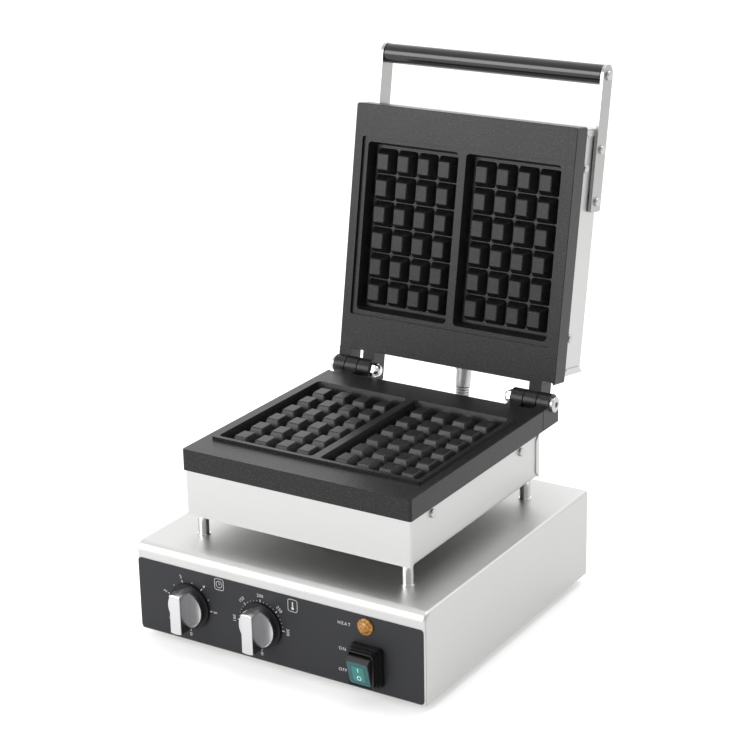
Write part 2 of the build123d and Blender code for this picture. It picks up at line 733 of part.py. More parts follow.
# ---- Handle --------------------------------------------------------------------------------------
def make_handle():
    """Two flat arms screwed to the upper box and the round grip between their free ends."""
    half = upper_half
    arm_high = grip_distance - arm_low_end
    for side, name in ((-1, "left"), (1, "right")):
        with BuildPart() as arm:
            with BuildSketch(across(half, side * arm_inner)):
                with Locations((arm_low_end + arm_high / 2, -arm_offset)):
                    Rectangle(arm_high, arm_width)
                with Locations((grip_distance, -arm_offset)):
                    Circle(arm_width / 2)
                corners = vertices().sort_by(Axis.X)[:2]
                fillet(corners, 2.5)
                with Locations(*[(s, -arm_offset) for s in arm_screw_places]):
                    Circle(arm_screw_diameter / 2 + 0.2, mode=Mode.SUBTRACT)
                with Locations((grip_distance, -arm_offset)):
                    Circle(grip_screw_diameter / 2 + 0.2, mode=Mode.SUBTRACT)
            extrude(amount=side * arm_thickness)
        save(arm.part, f"handle_arm_{name}")

    # press nuts in the side walls: the flange outside spaces the arm, the collar is inside
    with BuildPart() as nuts:
        for side in (-1, 1):
            with BuildSketch(across(half, side * side_wall)):
                with Locations(*[(s, -arm_offset) for s in arm_screw_places]):
                    Circle(6)
            extrude(amount=side * (arm_inner - side_wall))
            with BuildSketch(across(half, side * side_wall)):
                with Locations(*[(s, -arm_offset) for s in arm_screw_places]):
                    Circle(arm_nut_diameter / 2)
            extrude(amount=-side * 6)
            with BuildSketch(across(half, side * arm_inner)):
                with Locations(*[(s, -arm_offset) for s in arm_screw_places]):
                    Circle(arm_screw_diameter / 2 + fit)
            extrude(amount=-side * 8, mode=Mode.SUBTRACT)
    save(nuts.part, "handle_press_nuts")

    with BuildPart() as screws:
        for side in (-1, 1):
            with BuildSketch(across(half, side * (arm_inner + arm_thickness))):
                with Locations(*[(s, -arm_offset) for s in arm_screw_places]):
                    Circle(4.2)
            extrude(amount=side * 2.6)
        rims = screws.edges().filter_by(GeomType.CIRCLE)
        fillet(rims.filter_by(lambda e: abs(e.center().X) > arm_inner + arm_thickness + 1), 1.6)
        for side in (-1, 1):
            with BuildSketch(across(half, side * (arm_inner + arm_thickness))):
                with Locations(*[(s, -arm_offset) for s in arm_screw_places]):
                    Circle(arm_screw_diameter / 2)
            extrude(amount=-side * 11)
    save(screws.part, "handle_arm_screws")

    grip_end = arm_inner - 0.1
    with BuildPart() as grip:
        with BuildSketch(across(half, -grip_end)):
            with Locations((grip_distance, -arm_offset)):
                Circle(grip_diameter / 2)
        extrude(amount=2 * grip_end)
        fillet(grip.edges().filter_by(GeomType.CIRCLE), 1.2)
        for side in (-1, 1):
            with BuildSketch(across(half, side * grip_end)):
                with Locations((grip_distance, -arm_offset)):
                    Circle(grip_screw_diameter / 2 + fit)
            extrude(amount=-side * 16, mode=Mode.SUBTRACT)
    save(grip.part, "handle_grip")

    with BuildPart() as grip_screws:
        for side in (-1, 1):
            with BuildSketch(across(half, side * (arm_inner + arm_thickness))):
                with Locations((grip_distance, -arm_offset)):
                    Circle(4.6)
            extrude(amount=side * 2.8)
        rims = grip_screws.edges().filter_by(GeomType.CIRCLE)
        fillet(rims.filter_by(lambda e: abs(e.center().X) > arm_inner + arm_thickness + 1), 1.7)
        for side in (-1, 1):
            with BuildSketch(across(half, side * (arm_inner + arm_thickness))):
                with Locations((grip_distance, -arm_offset)):
                    Circle(grip_screw_diameter / 2)
            extrude(amount=-side * 15)
    save(grip_screws.part, "grip_screws")


# ---- Controls ------------------------------------------------------------------------------------
def make_dial(x, name, body_size):
    """One rotary control: the body behind the front wall, its shaft, the skirt and the bar knob."""
    body_width, body_length, body_height = body_size
    wall_inside = base_front + base_sheet
    bushing_end = panel_face - 2.2
    body_front = wall_inside + 0.1
    with BuildPart() as body:
        with BuildSketch(front_plane(body_front)):
            with Locations((x, dial_height)):
                RectangleRounded(body_width, body_height, 4)
        extrude(amount=-body_length)
        with BuildSketch(front_plane(body_front + body_length)):
            with Locations((x, dial_height)):
                with GridLocations(12, 14, 3, 2):
                    Rectangle(0.8, 6.3)
        extrude(amount=-8)
        with BuildSketch(front_plane(body_front)):
            with Locations((x, dial_height)):
                Circle(5)
        extrude(amount=body_front - bushing_end)
        with BuildSketch(front_plane(bushing_end)):
            with Locations((x, dial_height)):
                Circle(shaft_diameter / 2 + fit)
        extrude(amount=-(body_front - bushing_end + shaft_engagement + 0.5), mode=Mode.SUBTRACT)
    save(body.part, f"{name}_body")

    with BuildPart() as shaft:
        with BuildSketch(front_plane(body_front + shaft_engagement)):
            with Locations((x, dial_height)):
                Circle(shaft_diameter / 2)
        extrude(amount=body_front + shaft_engagement - knob_face - 4)
    save(shaft.part, f"{name}_shaft")

    # thin black skirt, hollow behind so that it clears the nut
    with BuildPart() as skirt:
        with BuildSketch(front_plane(panel_face - 0.6)):
            with Locations((x, dial_height)):
                Circle(knob_skirt_diameter / 2)
        extrude(amount=2.4)
        front_rim = skirt.faces().sort_by(Axis.Y)[0].edges()
        chamfer(front_rim, 0.6)
        with BuildSketch(front_plane(panel_face - 0.6)):
            with Locations((x, dial_height)):
                Circle(knob_skirt_diameter / 2 - 1.4)
        extrude(amount=1.8, mode=Mode.SUBTRACT)
        with BuildSketch(front_plane(knob_skirt_face)):
            with Locations((x, dial_height)):
                Circle(shaft_diameter / 2)
        extrude(amount=-3, mode=Mode.SUBTRACT)
    save(skirt.part, f"{name}_knob_skirt")

    # solid knob: a disc crossed by a tall grip bar with rounded ends
    with BuildPart() as knob:
        with BuildSketch(front_plane(knob_skirt_face)):
            with Locations((x, dial_height)):
                Circle(knob_diameter / 2)
        extrude(amount=knob_skirt_face - knob_disc_face)
        with BuildSketch(front_plane(knob_disc_face)):
            with Locations((x, dial_height)):
                Circle(knob_bar_length / 2)
                Rectangle(knob_bar_width, knob_bar_length, mode=Mode.INTERSECT)
        extrude(amount=knob_disc_face - knob_face)
        fillet(knob.faces().sort_by(Axis.Y)[0].edges(), 0.8)
        with BuildSketch(front_plane(knob_skirt_face)):
            with Locations((x, dial_height)):
                Circle(shaft_diameter / 2)
        extrude(amount=knob_skirt_face - knob_face - 4, mode=Mode.SUBTRACT)
    save(knob.part, f"{name}_knob")


def make_dial_nuts():
    """Nut on the threaded bushing of each rotary control."""
    with BuildPart() as nuts:
        with BuildSketch(front_plane(panel_face)):
            with Locations((timer_x, dial_height), (thermostat_x, dial_height)):
                RegularPolygon(7.4, 6)
                Circle(5 + fit, mode=Mode.SUBTRACT)
        extrude(amount=1.8)
    save(nuts.part, "dial_nuts")


def make_switch():
    """Rocker switch: body, black weather boot round it, and the rocker on its two trunnions."""
    boot_steps = ((32, 37, 5), (29, 34.6, 4), (26.4, 32.4, 3.5))
    pivot_y = panel_face - 6
    trunnion_radius = 1.25
    with BuildPart() as body:
        with BuildSketch(front_plane(base_front + 32)):
            with Locations((switch_x, switch_z)):
                Rectangle(26, 29)
        extrude(amount=31)
        with BuildSketch(front_plane(base_front + 1)):
            with Locations((switch_x - 12.2, switch_z), (switch_x + 12.2, switch_z)):
                Rectangle(1.4, 9)
        extrude(amount=base_front + 1 - pivot_y + 1.8)
        with BuildSketch(front_plane(base_front + 32)):
            with Locations((switch_x, switch_z)):
                with GridLocations(11, 9, 2, 2):
                    Rectangle(0.8, 6.3)
        extrude(amount=-9)
        with BuildSketch(side_plane(switch_x - 14)):
            with Locations((pivot_y, switch_z)):
                Circle(trunnion_radius + pin_clearance)
        extrude(amount=28, mode=Mode.SUBTRACT)
    save(body.part, "switch_body")

    with BuildPart() as boot:
        level = panel_face
        for width, height, depth in boot_steps:
            with BuildSketch(front_plane(level)):
                with Locations((switch_x, switch_z)):
                    RectangleRounded(width, height, 4)
            extrude(amount=depth)
            level -= depth
        with BuildSketch(front_plane(panel_face)):
            with Locations((switch_x, switch_z)):
                RectangleRounded(26.4, 30.6, 2)
        extrude(amount=boot_steps[0][2] + boot_steps[1][2] - 1, mode=Mode.SUBTRACT)
        with BuildSketch(front_plane(panel_face)):
            with Locations((switch_x, switch_z)):
                RectangleRounded(rocker_width + 1, 29.8, 1.5)
        extrude(amount=20, mode=Mode.SUBTRACT)
    save(boot.part, "switch_boot")

    # the rocker at rest is pressed in at the bottom, so its face leans out at the top
    face_reach = 9.2
    tilt = radians(rocker_tilt)
    corner_radius = (rocker_height**2 / 4 + face_reach**2) ** 0.5

    def turned(reach, height):
        """A point of the rocker's level outline, turned to its rest tilt, as (Y, Z)."""
        out = reach * cos(tilt) + height * sin(tilt)
        up = height * cos(tilt) - reach * sin(tilt)
        return (pivot_y - out, switch_z + up)

    half_height = rocker_height / 2
    waist = 7
    with BuildPart() as rocker:
        with BuildSketch(side_plane(switch_x - rocker_width / 2)):
            with BuildLine():
                Line(turned(face_reach, -half_height), turned(face_reach, half_height))
                side_reach = 0.6 * face_reach
                side_height = (corner_radius**2 - side_reach**2) ** 0.5
                tip_reach = -2
                tip_height = (corner_radius**2 - tip_reach**2) ** 0.5 - 4
                ThreePointArc(
                    turned(face_reach, half_height),
                    turned(side_reach, side_height - 0.8),
                    turned(tip_reach, tip_height),
                )
                Line(turned(tip_reach, tip_height), turned(-4, waist / 2))
                Line(turned(-4, waist / 2), turned(-4, -waist / 2))
                Line(turned(-4, -waist / 2), turned(tip_reach, -tip_height))
                ThreePointArc(
                    turned(tip_reach, -tip_height),
                    turned(side_reach, -side_height + 0.8),
                    turned(face_reach, -half_height),
                )
            make_face()
        extrude(amount=rocker_width)
        with BuildSketch(side_plane(switch_x - 12.7)):
            with Locations((pivot_y, switch_z)):
                Circle(trunnion_radius)
        extrude(amount=25.4)
    save(rocker.part, "switch_rocker")


def make_lamp():
    """Pilot lamp: body clipped through the front wall and a domed amber lens."""
    with BuildPart() as body:
        with BuildSketch(front_plane(panel_face)):
            with Locations((lamp_x, lamp_z)):
                Circle(5.9)
        extrude(amount=-26)
        with BuildSketch(front_plane(panel_face + 26)):
            with Locations((lamp_x - 3, lamp_z), (lamp_x + 3, lamp_z)):
                Rectangle(0.8, 4.8)
        extrude(amount=-8)
    save(body.part, "lamp_body")

    with BuildPart() as lens:
        with BuildSketch(front_plane(panel_face)):
            with Locations((lamp_x, lamp_z)):
                Circle(lamp_diameter / 2)
        extrude(amount=4.5)
        fillet(lens.faces().sort_by(Axis.Y)[0].edges(), 2.4)
    save(lens.part, "lamp_lens")


# ---- Inside the base -----------------------------------------------------------------------------
def make_base_interior():
    """Terminal block and over-temperature cut-out on the bottom plate."""
    floor = tray_bottom + tray_sheet
    with BuildPart() as block:
        with BuildSketch(Plane.XY.offset(floor)):
            with Locations((-80, 92)):
                RectangleRounded(52, 24, 2)
        extrude(amount=18)
        with BuildSketch(Plane.XY.offset(floor + 18)):
            with Locations((-80, 92)):
                with GridLocations(10, 12, 5, 2):
                    Circle(2.6)
        extrude(amount=-9, mode=Mode.SUBTRACT)
    save(block.part, "terminal_block")

    with BuildPart() as cutout:
        with BuildSketch(Plane.XY.offset(floor)):
            with Locations((78, 70)):
                RectangleRounded(44, 30, 2)
        extrude(amount=22)
        with BuildSketch(Plane.XY.offset(floor + 22)):
            with Locations((78, 70)):
                Circle(4.5)
        extrude(amount=7)
        with BuildSketch(Plane.XY.offset(floor + 22)):
            with Locations((62, 62), (94, 62)):
                Rectangle(6.3, 0.8)
        extrude(amount=8)
    save(cutout.part, "over_temperature_cutout")


def make_capillary():
    """Thermostat bulb under the lower plate and the fine tube from it, through the wiring duct, to the
    thermostat body."""
    bulb_z = hinge_z + plate_back - 3.3
    bulb_x = -62
    tube_radius = 1
    with BuildPart() as capillary:
        with BuildSketch(front_plane(-20)):
            with Locations((bulb_x, bulb_z)):
                Circle(3)
        extrude(amount=-90)
        with BuildLine():
            FilletPolyline(
                (bulb_x, 69, bulb_z),
                (bulb_x, duct_y, bulb_z),
                (0, duct_y, bulb_z),
                (0, duct_y, 74),
                (0, 20, 74),
                (thermostat_x, -20, 74),
                (thermostat_x, -128, 74),
                (thermostat_x, -128, thermostat_body_top),
                radius=7,
            )
        with BuildSketch(front_plane(69)):
            with Locations((bulb_x, bulb_z)):
                Circle(tube_radius)
        sweep()
    save(capillary.part, "thermostat_bulb_and_capillary")


def make_wiring():
    """Bundled leads from the terminal block to the switch and to the timer."""
    lead_radius = 2
    block_front = 92 - 12 - 0.1
    switch_tabs = base_front + 32 + 9.1
    timer_tabs = base_front + base_sheet + 0.1 + timer_size[1] + 8.1
    routes = (
        (
            (-66, block_front, 22),
            (-66, 40, 22),
            (40, 0, 24),
            (switch_x, -60, 32),
            (switch_x, switch_tabs, 32),
        ),
        (
            (-90, block_front, 22),
            (-90, 30, 22),
            (-110, -30, 34),
            (timer_x, -60, dial_height),
            (timer_x, timer_tabs, dial_height),
        ),
    )
    with BuildPart() as leads:
        for route in routes:
            with BuildLine() as path:
                FilletPolyline(*route, radius=18)
            with BuildSketch(front_plane(block_front)):
                with Locations((route[0][0], route[0][2])):
                    Circle(lead_radius)
            sweep(path=path.line)
    save(leads.part, "internal_leads")


# ---- Conduit and glands --------------------------------------------------------------------------
def make_cord_gland():
    """Gland for the mains cord in the back panel."""
    with BuildPart() as gland:
        with BuildSketch(front_plane(base_back + fit)):
            with Locations((cord_gland_x, cord_gland_z)):
                RegularPolygon(13.5, 6)
        extrude(amount=-6)
        with BuildSketch(front_plane(base_back + fit + 6)):
            with Locations((cord_gland_x, cord_gland_z)):
                Circle(11.5)
        extrude(amount=-14, taper=8)
        with BuildSketch(front_plane(base_back + fit)):
            with Locations((cord_gland_x, cord_gland_z)):
                Circle(9.9)
        extrude(amount=9)
        with BuildSketch(front_plane(base_back + 30)):
            with Locations((cord_gland_x, cord_gland_z)):
                Circle(cord_hole_diameter / 2)
        extrude(amount=50, mode=Mode.SUBTRACT)
    save(gland.part, "cord_gland")


def make_conduit():
    """Flexible conduit for the lid's wiring: a ferrule on the upper box, a gland on the back panel and
    the corrugated tube between them."""
    half = upper_half
    port_s = hinge_y - box_length / 2
    with BuildPart() as ferrule:
        with BuildSketch(facing_hinge(half, port_s - fit)):
            with Locations((0, -conduit_offset)):
                Circle(8.6)
        extrude(amount=collar_length)
        with BuildSketch(facing_hinge(half, port_s - fit - collar_length)):
            with Locations((0, -conduit_offset)):
                Circle(7.4)
        extrude(amount=ferrule_length)
        with BuildSketch(facing_hinge(half, port_s - fit)):
            with Locations((0, -conduit_offset)):
                Circle(8)
        extrude(amount=-8)
        with BuildSketch(facing_hinge(half, port_s + 10)):
            with Locations((0, -conduit_offset)):
                Circle(5.4)
        extrude(amount=60, mode=Mode.SUBTRACT)
    save(ferrule.part, "conduit_ferrule")

    neck = 16
    with BuildPart() as gland:
        with BuildSketch(front_plane(base_back + fit)):
            with Locations((0, conduit_gland_z)):
                RegularPolygon(12, 6)
        extrude(amount=-5)
        with BuildSketch(front_plane(base_back + fit + 5)):
            with Locations((0, conduit_gland_z)):
                Circle(9)
        extrude(amount=-(neck - 5))
        with BuildSketch(front_plane(base_back + fit)):
            with Locations((0, conduit_gland_z)):
                Circle(8)
        extrude(amount=8)
        with BuildSketch(front_plane(base_back + 30)):
            with Locations((0, conduit_gland_z)):
                Circle(5.4)
        extrude(amount=50, mode=Mode.SUBTRACT)
    save(gland.part, "conduit_gland")

    # nuts of both back-panel glands, inside the panel
    with BuildPart() as nuts:
        with BuildSketch(front_plane(base_back - base_sheet - fit)):
            with Locations((0, conduit_gland_z)):
                RegularPolygon(11, 6)
                Circle(8 + fit, mode=Mode.SUBTRACT)
            with Locations((cord_gland_x, cord_gland_z)):
                RegularPolygon(13.5, 6)
                Circle(9.9 + fit, mode=Mode.SUBTRACT)
        extrude(amount=4)
    save(nuts.part, "gland_nuts")

    # the tube leaves the gland backwards, turns up and leans in under the open lid's ferrule
    ferrule_end = half.from_local_coords((0, port_s - fit - collar_length - ferrule_length, -conduit_offset))
    approach = ferrule_end - half.y_dir * 30
    gland_end = Vector(0, base_back + fit + neck, conduit_gland_z)
    with BuildPart() as conduit:
        with BuildLine():
            FilletPolyline(
                gland_end,
                Vector(0, 220, conduit_gland_z),
                Vector(0, 220, conduit_gland_z + 44),
                approach,
                ferrule_end,
                radius=[28, 27, 38],
            )
        with BuildSketch(front_plane(gland_end.Y)):
            with Locations((0, conduit_gland_z)):
                Circle(conduit_diameter / 2)
                Circle(conduit_diameter / 2 - 1.5, mode=Mode.SUBTRACT)
        sweep()
    save(conduit.part, "conduit")


make_base_shell()
make_rear_panel()
make_bottom_plate()
make_overlay()
make_legs()
make_plate(lower_half, "lower_plate", raised=True)
make_plate(upper_half, "upper_plate", raised=False)
make_hinge_pins()
make_box(lower_half, "lower_box", lower_box_height, is_lower=True)
make_box(upper_half, "upper_box", upper_box_height, is_lower=False)
make_heating(lower_half, "lower", lower_box_height)
make_heating(upper_half, "upper", upper_box_height)
make_handle()
make_dial(timer_x, "timer", timer_size)
make_dial(thermostat_x, "thermostat", thermostat_size)
make_dial_nuts()
make_switch()
make_lamp()
make_base_interior()
make_capillary()
make_wiring()
make_cord_gland()
make_conduit()
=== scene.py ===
"""Looks of a double waffle maker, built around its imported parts: finishes for every part, the
printed front panel, the rocker's marks, the faceted lamp lens and the corrugated conduit.
Metres, +Z up."""
import json
import math

import bpy
from bpy.props import FloatProperty, FloatVectorProperty, IntProperty, PointerProperty
from mathutils import Matrix, Vector


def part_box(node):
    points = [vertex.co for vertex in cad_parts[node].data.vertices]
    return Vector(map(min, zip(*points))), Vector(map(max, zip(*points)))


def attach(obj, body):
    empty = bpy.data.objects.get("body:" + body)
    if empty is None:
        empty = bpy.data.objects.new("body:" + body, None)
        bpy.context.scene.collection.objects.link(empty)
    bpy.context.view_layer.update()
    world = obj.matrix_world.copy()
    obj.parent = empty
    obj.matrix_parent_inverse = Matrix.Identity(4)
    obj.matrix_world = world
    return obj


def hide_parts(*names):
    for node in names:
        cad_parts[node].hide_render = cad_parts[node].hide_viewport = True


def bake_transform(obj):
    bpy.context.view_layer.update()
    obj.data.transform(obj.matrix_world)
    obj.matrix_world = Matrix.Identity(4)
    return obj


bl_info = {
    "name": "Double Waffle Maker",
    "version": (1, 0, 0),
    "blender": (4, 5, 0),
    "location": "3D View > Sidebar > Waffle Maker",
    "description": "Finishes and fine details for a double waffle maker",
    "category": "Object",
}

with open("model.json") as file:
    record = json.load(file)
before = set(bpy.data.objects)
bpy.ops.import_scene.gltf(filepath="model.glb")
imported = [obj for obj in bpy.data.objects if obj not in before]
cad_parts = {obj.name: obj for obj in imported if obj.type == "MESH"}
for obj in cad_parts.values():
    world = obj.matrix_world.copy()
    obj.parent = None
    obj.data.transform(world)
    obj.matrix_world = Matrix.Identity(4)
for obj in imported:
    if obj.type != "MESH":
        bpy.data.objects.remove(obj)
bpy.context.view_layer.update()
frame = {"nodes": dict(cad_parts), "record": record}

MM = 0.001
base_low, base_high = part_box("base_shell")
BASE_MIDDLE_Y = (base_low[1] + base_high[1]) / 2
PANEL_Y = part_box("front_overlay")[0][1]

# Controls on the front panel: x from the middle of the base, z from the floor
TIMER_CENTRE = (-93 * MM, 43 * MM)
THERMOSTAT_CENTRE = (-16 * MM, 43 * MM)
LAMP_CENTRE = (92 * MM, 68.5 * MM)
ROCKER_PIVOT = (93.5 * MM, PANEL_Y - 6 * MM, 33.5 * MM)
ROCKER_TILT = math.radians(14)
ROCKER_REACH = 9.2 * MM

# Scales round the dials, both clockwise: degrees from +X towards +Z
ZERO_ANGLE = 270
MINUTE_STEP = 54
COOLEST_ANGLE = 180
TEN_DEGREES_STEP = 9

# Length and width of the printed ticks
TICK = (2.4 * MM, 0.8 * MM)
SHORT_TICK = (1.2 * MM, 0.35 * MM)
DOT = (0.9 * MM, 0.9 * MM)

# Words beside the lamp and the switch: word, x, z and spacing of the letters
WORD_HEIGHT = 4.3 * MM
WORDS = (
    ("HEAT", 70.3 * MM, 66 * MM, 1.35),
    ("ON", 68.0 * MM, 41.7 * MM, 1.25),
    ("OFF", 68.0 * MM, 21.7 * MM, 1.25),
)

# Symbols above the dials
CLOCK_CENTRE = (-59.6 * MM, 71.7 * MM)
THERMOMETER_CENTRE = (18 * MM, 70 * MM)
SYMBOL_LINE = 0.45 * MM

# Width and height of the rocker's face and of the lighter window on it
ROCKER_FACE = (20.6 * MM, 23.8 * MM)
ROCKER_WINDOW = (11.8 * MM, 15.6 * MM)

# Lamp lens: the rim, then rows of facets that close in towards the middle, each with its share of the
# lens's depth and its size against the row before
LENS_ROWS = ((0.30, 1.0), (0.16, 0.90), (0.0, 0.86), (0.26, 0.80), (0.18, 0.62), (0.10, 0.40))

# Conduit: its route as y from the middle of the base and z from the floor, in mm, and the height above
# which it is parted off as the rise
CONDUIT_RADIUS = 7 * MM
CONDUIT_ROUTE = (
    (166.05, 60), (192, 60), (220, 60), (220, 84), (220, 104), (196, 119), (173.5, 133.2),
    (177.96, 162.78),
)
RISE_HEIGHT = 74 * MM

# Softboxes: name, place, the point it faces, its side and its power
SOFTBOXES = (
    ("key_softbox", (-1.5, -2.4, 1.35), (0, 0, 0.3), 1.8, 66),
    ("top_softbox", (0.2, 0.9, 2.6), (0, 0, 0.15), 1.8, 30),
    ("right_softbox", (2.3, 0.9, 1.3), (0, 0, 0.2), 1.2, 4),
)
BRIGHTEST_SKY = (-0.495, 0.80, 0.338)

# Camera of the product view
CAMERA_AZIMUTH = math.radians(31.75)
CAMERA_ELEVATION = math.radians(19.73)
CAMERA_ROLL = math.radians(-0.97)
CAMERA_PLACE = Vector((0.9403, -1.4737 + BASE_MIDDLE_Y, 0.8597))
CAMERA_LENS = 99.73
CAMERA_SHIFT = (-0.0215, -0.0049)


# ---- Sizes and colours a user may change -----------------------------------------------------------
class WaffleSizes(bpy.types.PropertyGroup):
    print_thickness: FloatProperty(
        name="Print thickness", description="Height of the print above the panel foil",
        default=0.05 * MM, unit="LENGTH", precision=6)
    numeral_radius: FloatProperty(
        name="Numeral radius", description="Distance of the dial numerals from the shaft",
        default=27.8 * MM, unit="LENGTH")
    tick_radius: FloatProperty(
        name="Tick radius", description="Distance of the middle of a dial tick from the shaft",
        default=23.4 * MM, unit="LENGTH")
    numeral_height: FloatProperty(
        name="Numeral height", description="Letter size of the dial numerals",
        default=5.0 * MM, unit="LENGTH")
    rib_pitch: FloatProperty(
        name="Rib pitch", description="Distance between two ribs of the conduit",
        default=2.6 * MM, unit="LENGTH")
    rib_depth: FloatProperty(
        name="Rib depth", description="Depth of the groove between two ribs of the conduit",
        default=1.3 * MM, unit="LENGTH")
    lens_facets: IntProperty(
        name="Lens facets", description="Facets round the lamp lens", default=14, min=8, max=32)


class WaffleColours(bpy.types.PropertyGroup):
    sheet: FloatVectorProperty(
        name="Sheet steel", description="Satin stainless sheet", subtype="COLOR", size=4,
        default=(0.54, 0.54, 0.535, 1))
    casting: FloatVectorProperty(
        name="Plate coat", description="Dark coat of the baking plates", subtype="COLOR", size=4,
        default=(0.005, 0.005, 0.0053, 1))
    foil: FloatVectorProperty(
        name="Panel foil", description="Ground colour of the front foil", subtype="COLOR", size=4,
        default=(0.010, 0.0105, 0.013, 1))
    print_colour: FloatVectorProperty(
        name="Print", description="Colour of numerals and marks", subtype="COLOR", size=4,
        default=(0.46, 0.46, 0.46, 1))
    rocker: FloatVectorProperty(
        name="Rocker", description="Rim colour of the rocker switch", subtype="COLOR", size=4,
        default=(0.008, 0.062, 0.070, 1))
    lamp: FloatVectorProperty(
        name="Lamp", description="Amber of the pilot lamp", subtype="COLOR", size=4,
        default=(0.30, 0.125, 0.010, 1))


# ---- Node helpers ----------------------------------------------------------------------------------
def link(tree, source, target):
    """Join two sockets."""
    tree.links.new(source, target)


def add_node(tree, kind, x, y, **settings):
    """Add one shader node at a place and set its plain settings."""
    node = tree.nodes.new(kind)
    node.location = (x, y)
    for name, value in settings.items():
        setattr(node, name, value)
    return node


def map_range(tree, source, low, high, x, y, from_low=0.0, from_high=1.0):
    """Spread a 0 to 1 value over a new range."""
    node = add_node(tree, "ShaderNodeMapRange", x, y)
    node.inputs["From Min"].default_value = from_low
    node.inputs["From Max"].default_value = from_high
    node.inputs["To Min"].default_value = low
    node.inputs["To Max"].default_value = high
    link(tree, source, node.inputs["Value"])
    return node.outputs["Result"]


def blend_colours(tree, factor, first, second, x, y):
    """Colour that goes from first, a colour or a socket, to the colour second with the factor."""
    node = add_node(tree, "ShaderNodeMix", x, y, data_type="RGBA")
    link(tree, factor, node.inputs["Factor"])
    near, far = (socket for socket in node.inputs if socket.type == "RGBA")
    if isinstance(first, bpy.types.NodeSocket):
        link(tree, first, near)
    else:
        near.default_value = (*first[:3], 1)
    far.default_value = (*second[:3], 1)
    return next(socket for socket in node.outputs if socket.type == "RGBA")


def new_group(name, inputs, outputs):
    """Empty shader node group with named sockets."""
    group = bpy.data.node_groups.new(name, "ShaderNodeTree")
    for label, kind, value in inputs:
        socket = group.interface.new_socket(name=label, in_out="INPUT", socket_type=kind)
        if value is not None:
            socket.default_value = value
    for label, kind in outputs:
        group.interface.new_socket(name=label, in_out="OUTPUT", socket_type=kind)
    start = add_node(group, "NodeGroupInput", -900, 0)
    end = add_node(group, "NodeGroupOutput", 900, 0)
    return group, start, end


def rolled_grain_group():
    """Fine lines left by the brush belt, lying level on upright faces and along X on flat ones, and
    broad faint clouds from handling."""
    group, start, end = new_group(
        "Rolled grain",
        [("Vector", "NodeSocketVector", None), ("Normal", "NodeSocketVector", None),
         ("Line Scale", "NodeSocketFloat", 1100.0), ("Cloud Scale", "NodeSocketFloat", 14.0)],
        [("Lines", "NodeSocketFloat"), ("Clouds", "NodeSocketFloat")])
    lines = []
    for row, stretch in enumerate(((0.012, 0.012, 1.0), (0.012, 1.0, 0.012))):
        squeeze = add_node(group, "ShaderNodeVectorMath", -650, 200 - 220 * row, operation="MULTIPLY")
        squeeze.inputs[1].default_value = stretch
        link(group, start.outputs["Vector"], squeeze.inputs[0])
        noise = add_node(group, "ShaderNodeTexNoise", -400, 200 - 220 * row)
        noise.inputs["Detail"].default_value = 3
        noise.inputs["Roughness"].default_value = 0.65
        link(group, squeeze.outputs["Vector"], noise.inputs["Vector"])
        link(group, start.outputs["Line Scale"], noise.inputs["Scale"])
        lines.append(noise.outputs["Fac"])
    facing = add_node(group, "ShaderNodeSeparateXYZ", -650, -300)
    link(group, start.outputs["Normal"], facing.inputs["Vector"])
    flatness = add_node(group, "ShaderNodeMath", -400, -300, operation="ABSOLUTE")
    link(group, facing.outputs["Z"], flatness.inputs[0])
    pick = add_node(group, "ShaderNodeMix", 0, 100)
    link(group, flatness.outputs["Value"], pick.inputs["Factor"])
    link(group, lines[0], pick.inputs["A"])
    link(group, lines[1], pick.inputs["B"])
    clouds = add_node(group, "ShaderNodeTexNoise", -400, -520)
    clouds.inputs["Detail"].default_value = 4
    link(group, start.outputs["Vector"], clouds.inputs["Vector"])
    link(group, start.outputs["Cloud Scale"], clouds.inputs["Scale"])
    link(group, pick.outputs["Result"], end.inputs["Lines"])
    link(group, clouds.outputs["Fac"], end.inputs["Clouds"])
    return group


def fine_grain_group():
    """Fine isotropic grain, sparse bright specks and broad clouds, for coats, mouldings and rubber."""
    group, start, end = new_group(
        "Fine grain",
        [("Vector", "NodeSocketVector", None), ("Grain Scale", "NodeSocketFloat", 900.0),
         ("Cloud Scale", "NodeSocketFloat", 18.0)],
        [("Grain", "NodeSocketFloat"), ("Specks", "NodeSocketFloat"), ("Clouds", "NodeSocketFloat")])
    grain = add_node(group, "ShaderNodeTexNoise", -400, 250)
    grain.inputs["Detail"].default_value = 2
    link(group, start.outputs["Vector"], grain.inputs["Vector"])
    link(group, start.outputs["Grain Scale"], grain.inputs["Scale"])
    cells = add_node(group, "ShaderNodeTexVoronoi", -400, 0)
    link(group, start.outputs["Vector"], cells.inputs["Vector"])
    link(group, start.outputs["Grain Scale"], cells.inputs["Scale"])
    specks = map_range(
        group, cells.outputs["Distance"], 1, 0, -150, 0, from_low=0.08, from_high=0.3)
    clouds = add_node(group, "ShaderNodeTexNoise", -400, -300)
    clouds.inputs["Detail"].default_value = 3
    link(group, start.outputs["Vector"], clouds.inputs["Vector"])
    link(group, start.outputs["Cloud Scale"], clouds.inputs["Scale"])
    link(group, grain.outputs["Fac"], end.inputs["Grain"])
    link(group, specks, end.inputs["Specks"])
    link(group, clouds.outputs["Fac"], end.inputs["Clouds"])
    return group


def shared_group(name, maker):
    """The group of this name, made on first use."""
    return bpy.data.node_groups.get(name) or maker()


def start_material(name, metallic=0.0, specular=0.5):
    """New material with its shader's plain values set; returns material, tree and shader."""
    material = bpy.data.materials.new(name)
    material.use_nodes = True
    tree = material.node_tree
    shader = tree.nodes["Principled BSDF"]
    shader.location = (500, 0)
    shader.inputs["Metallic"].default_value = metallic
    shader.inputs["Specular IOR Level"].default_value = specular
    return material, tree, shader


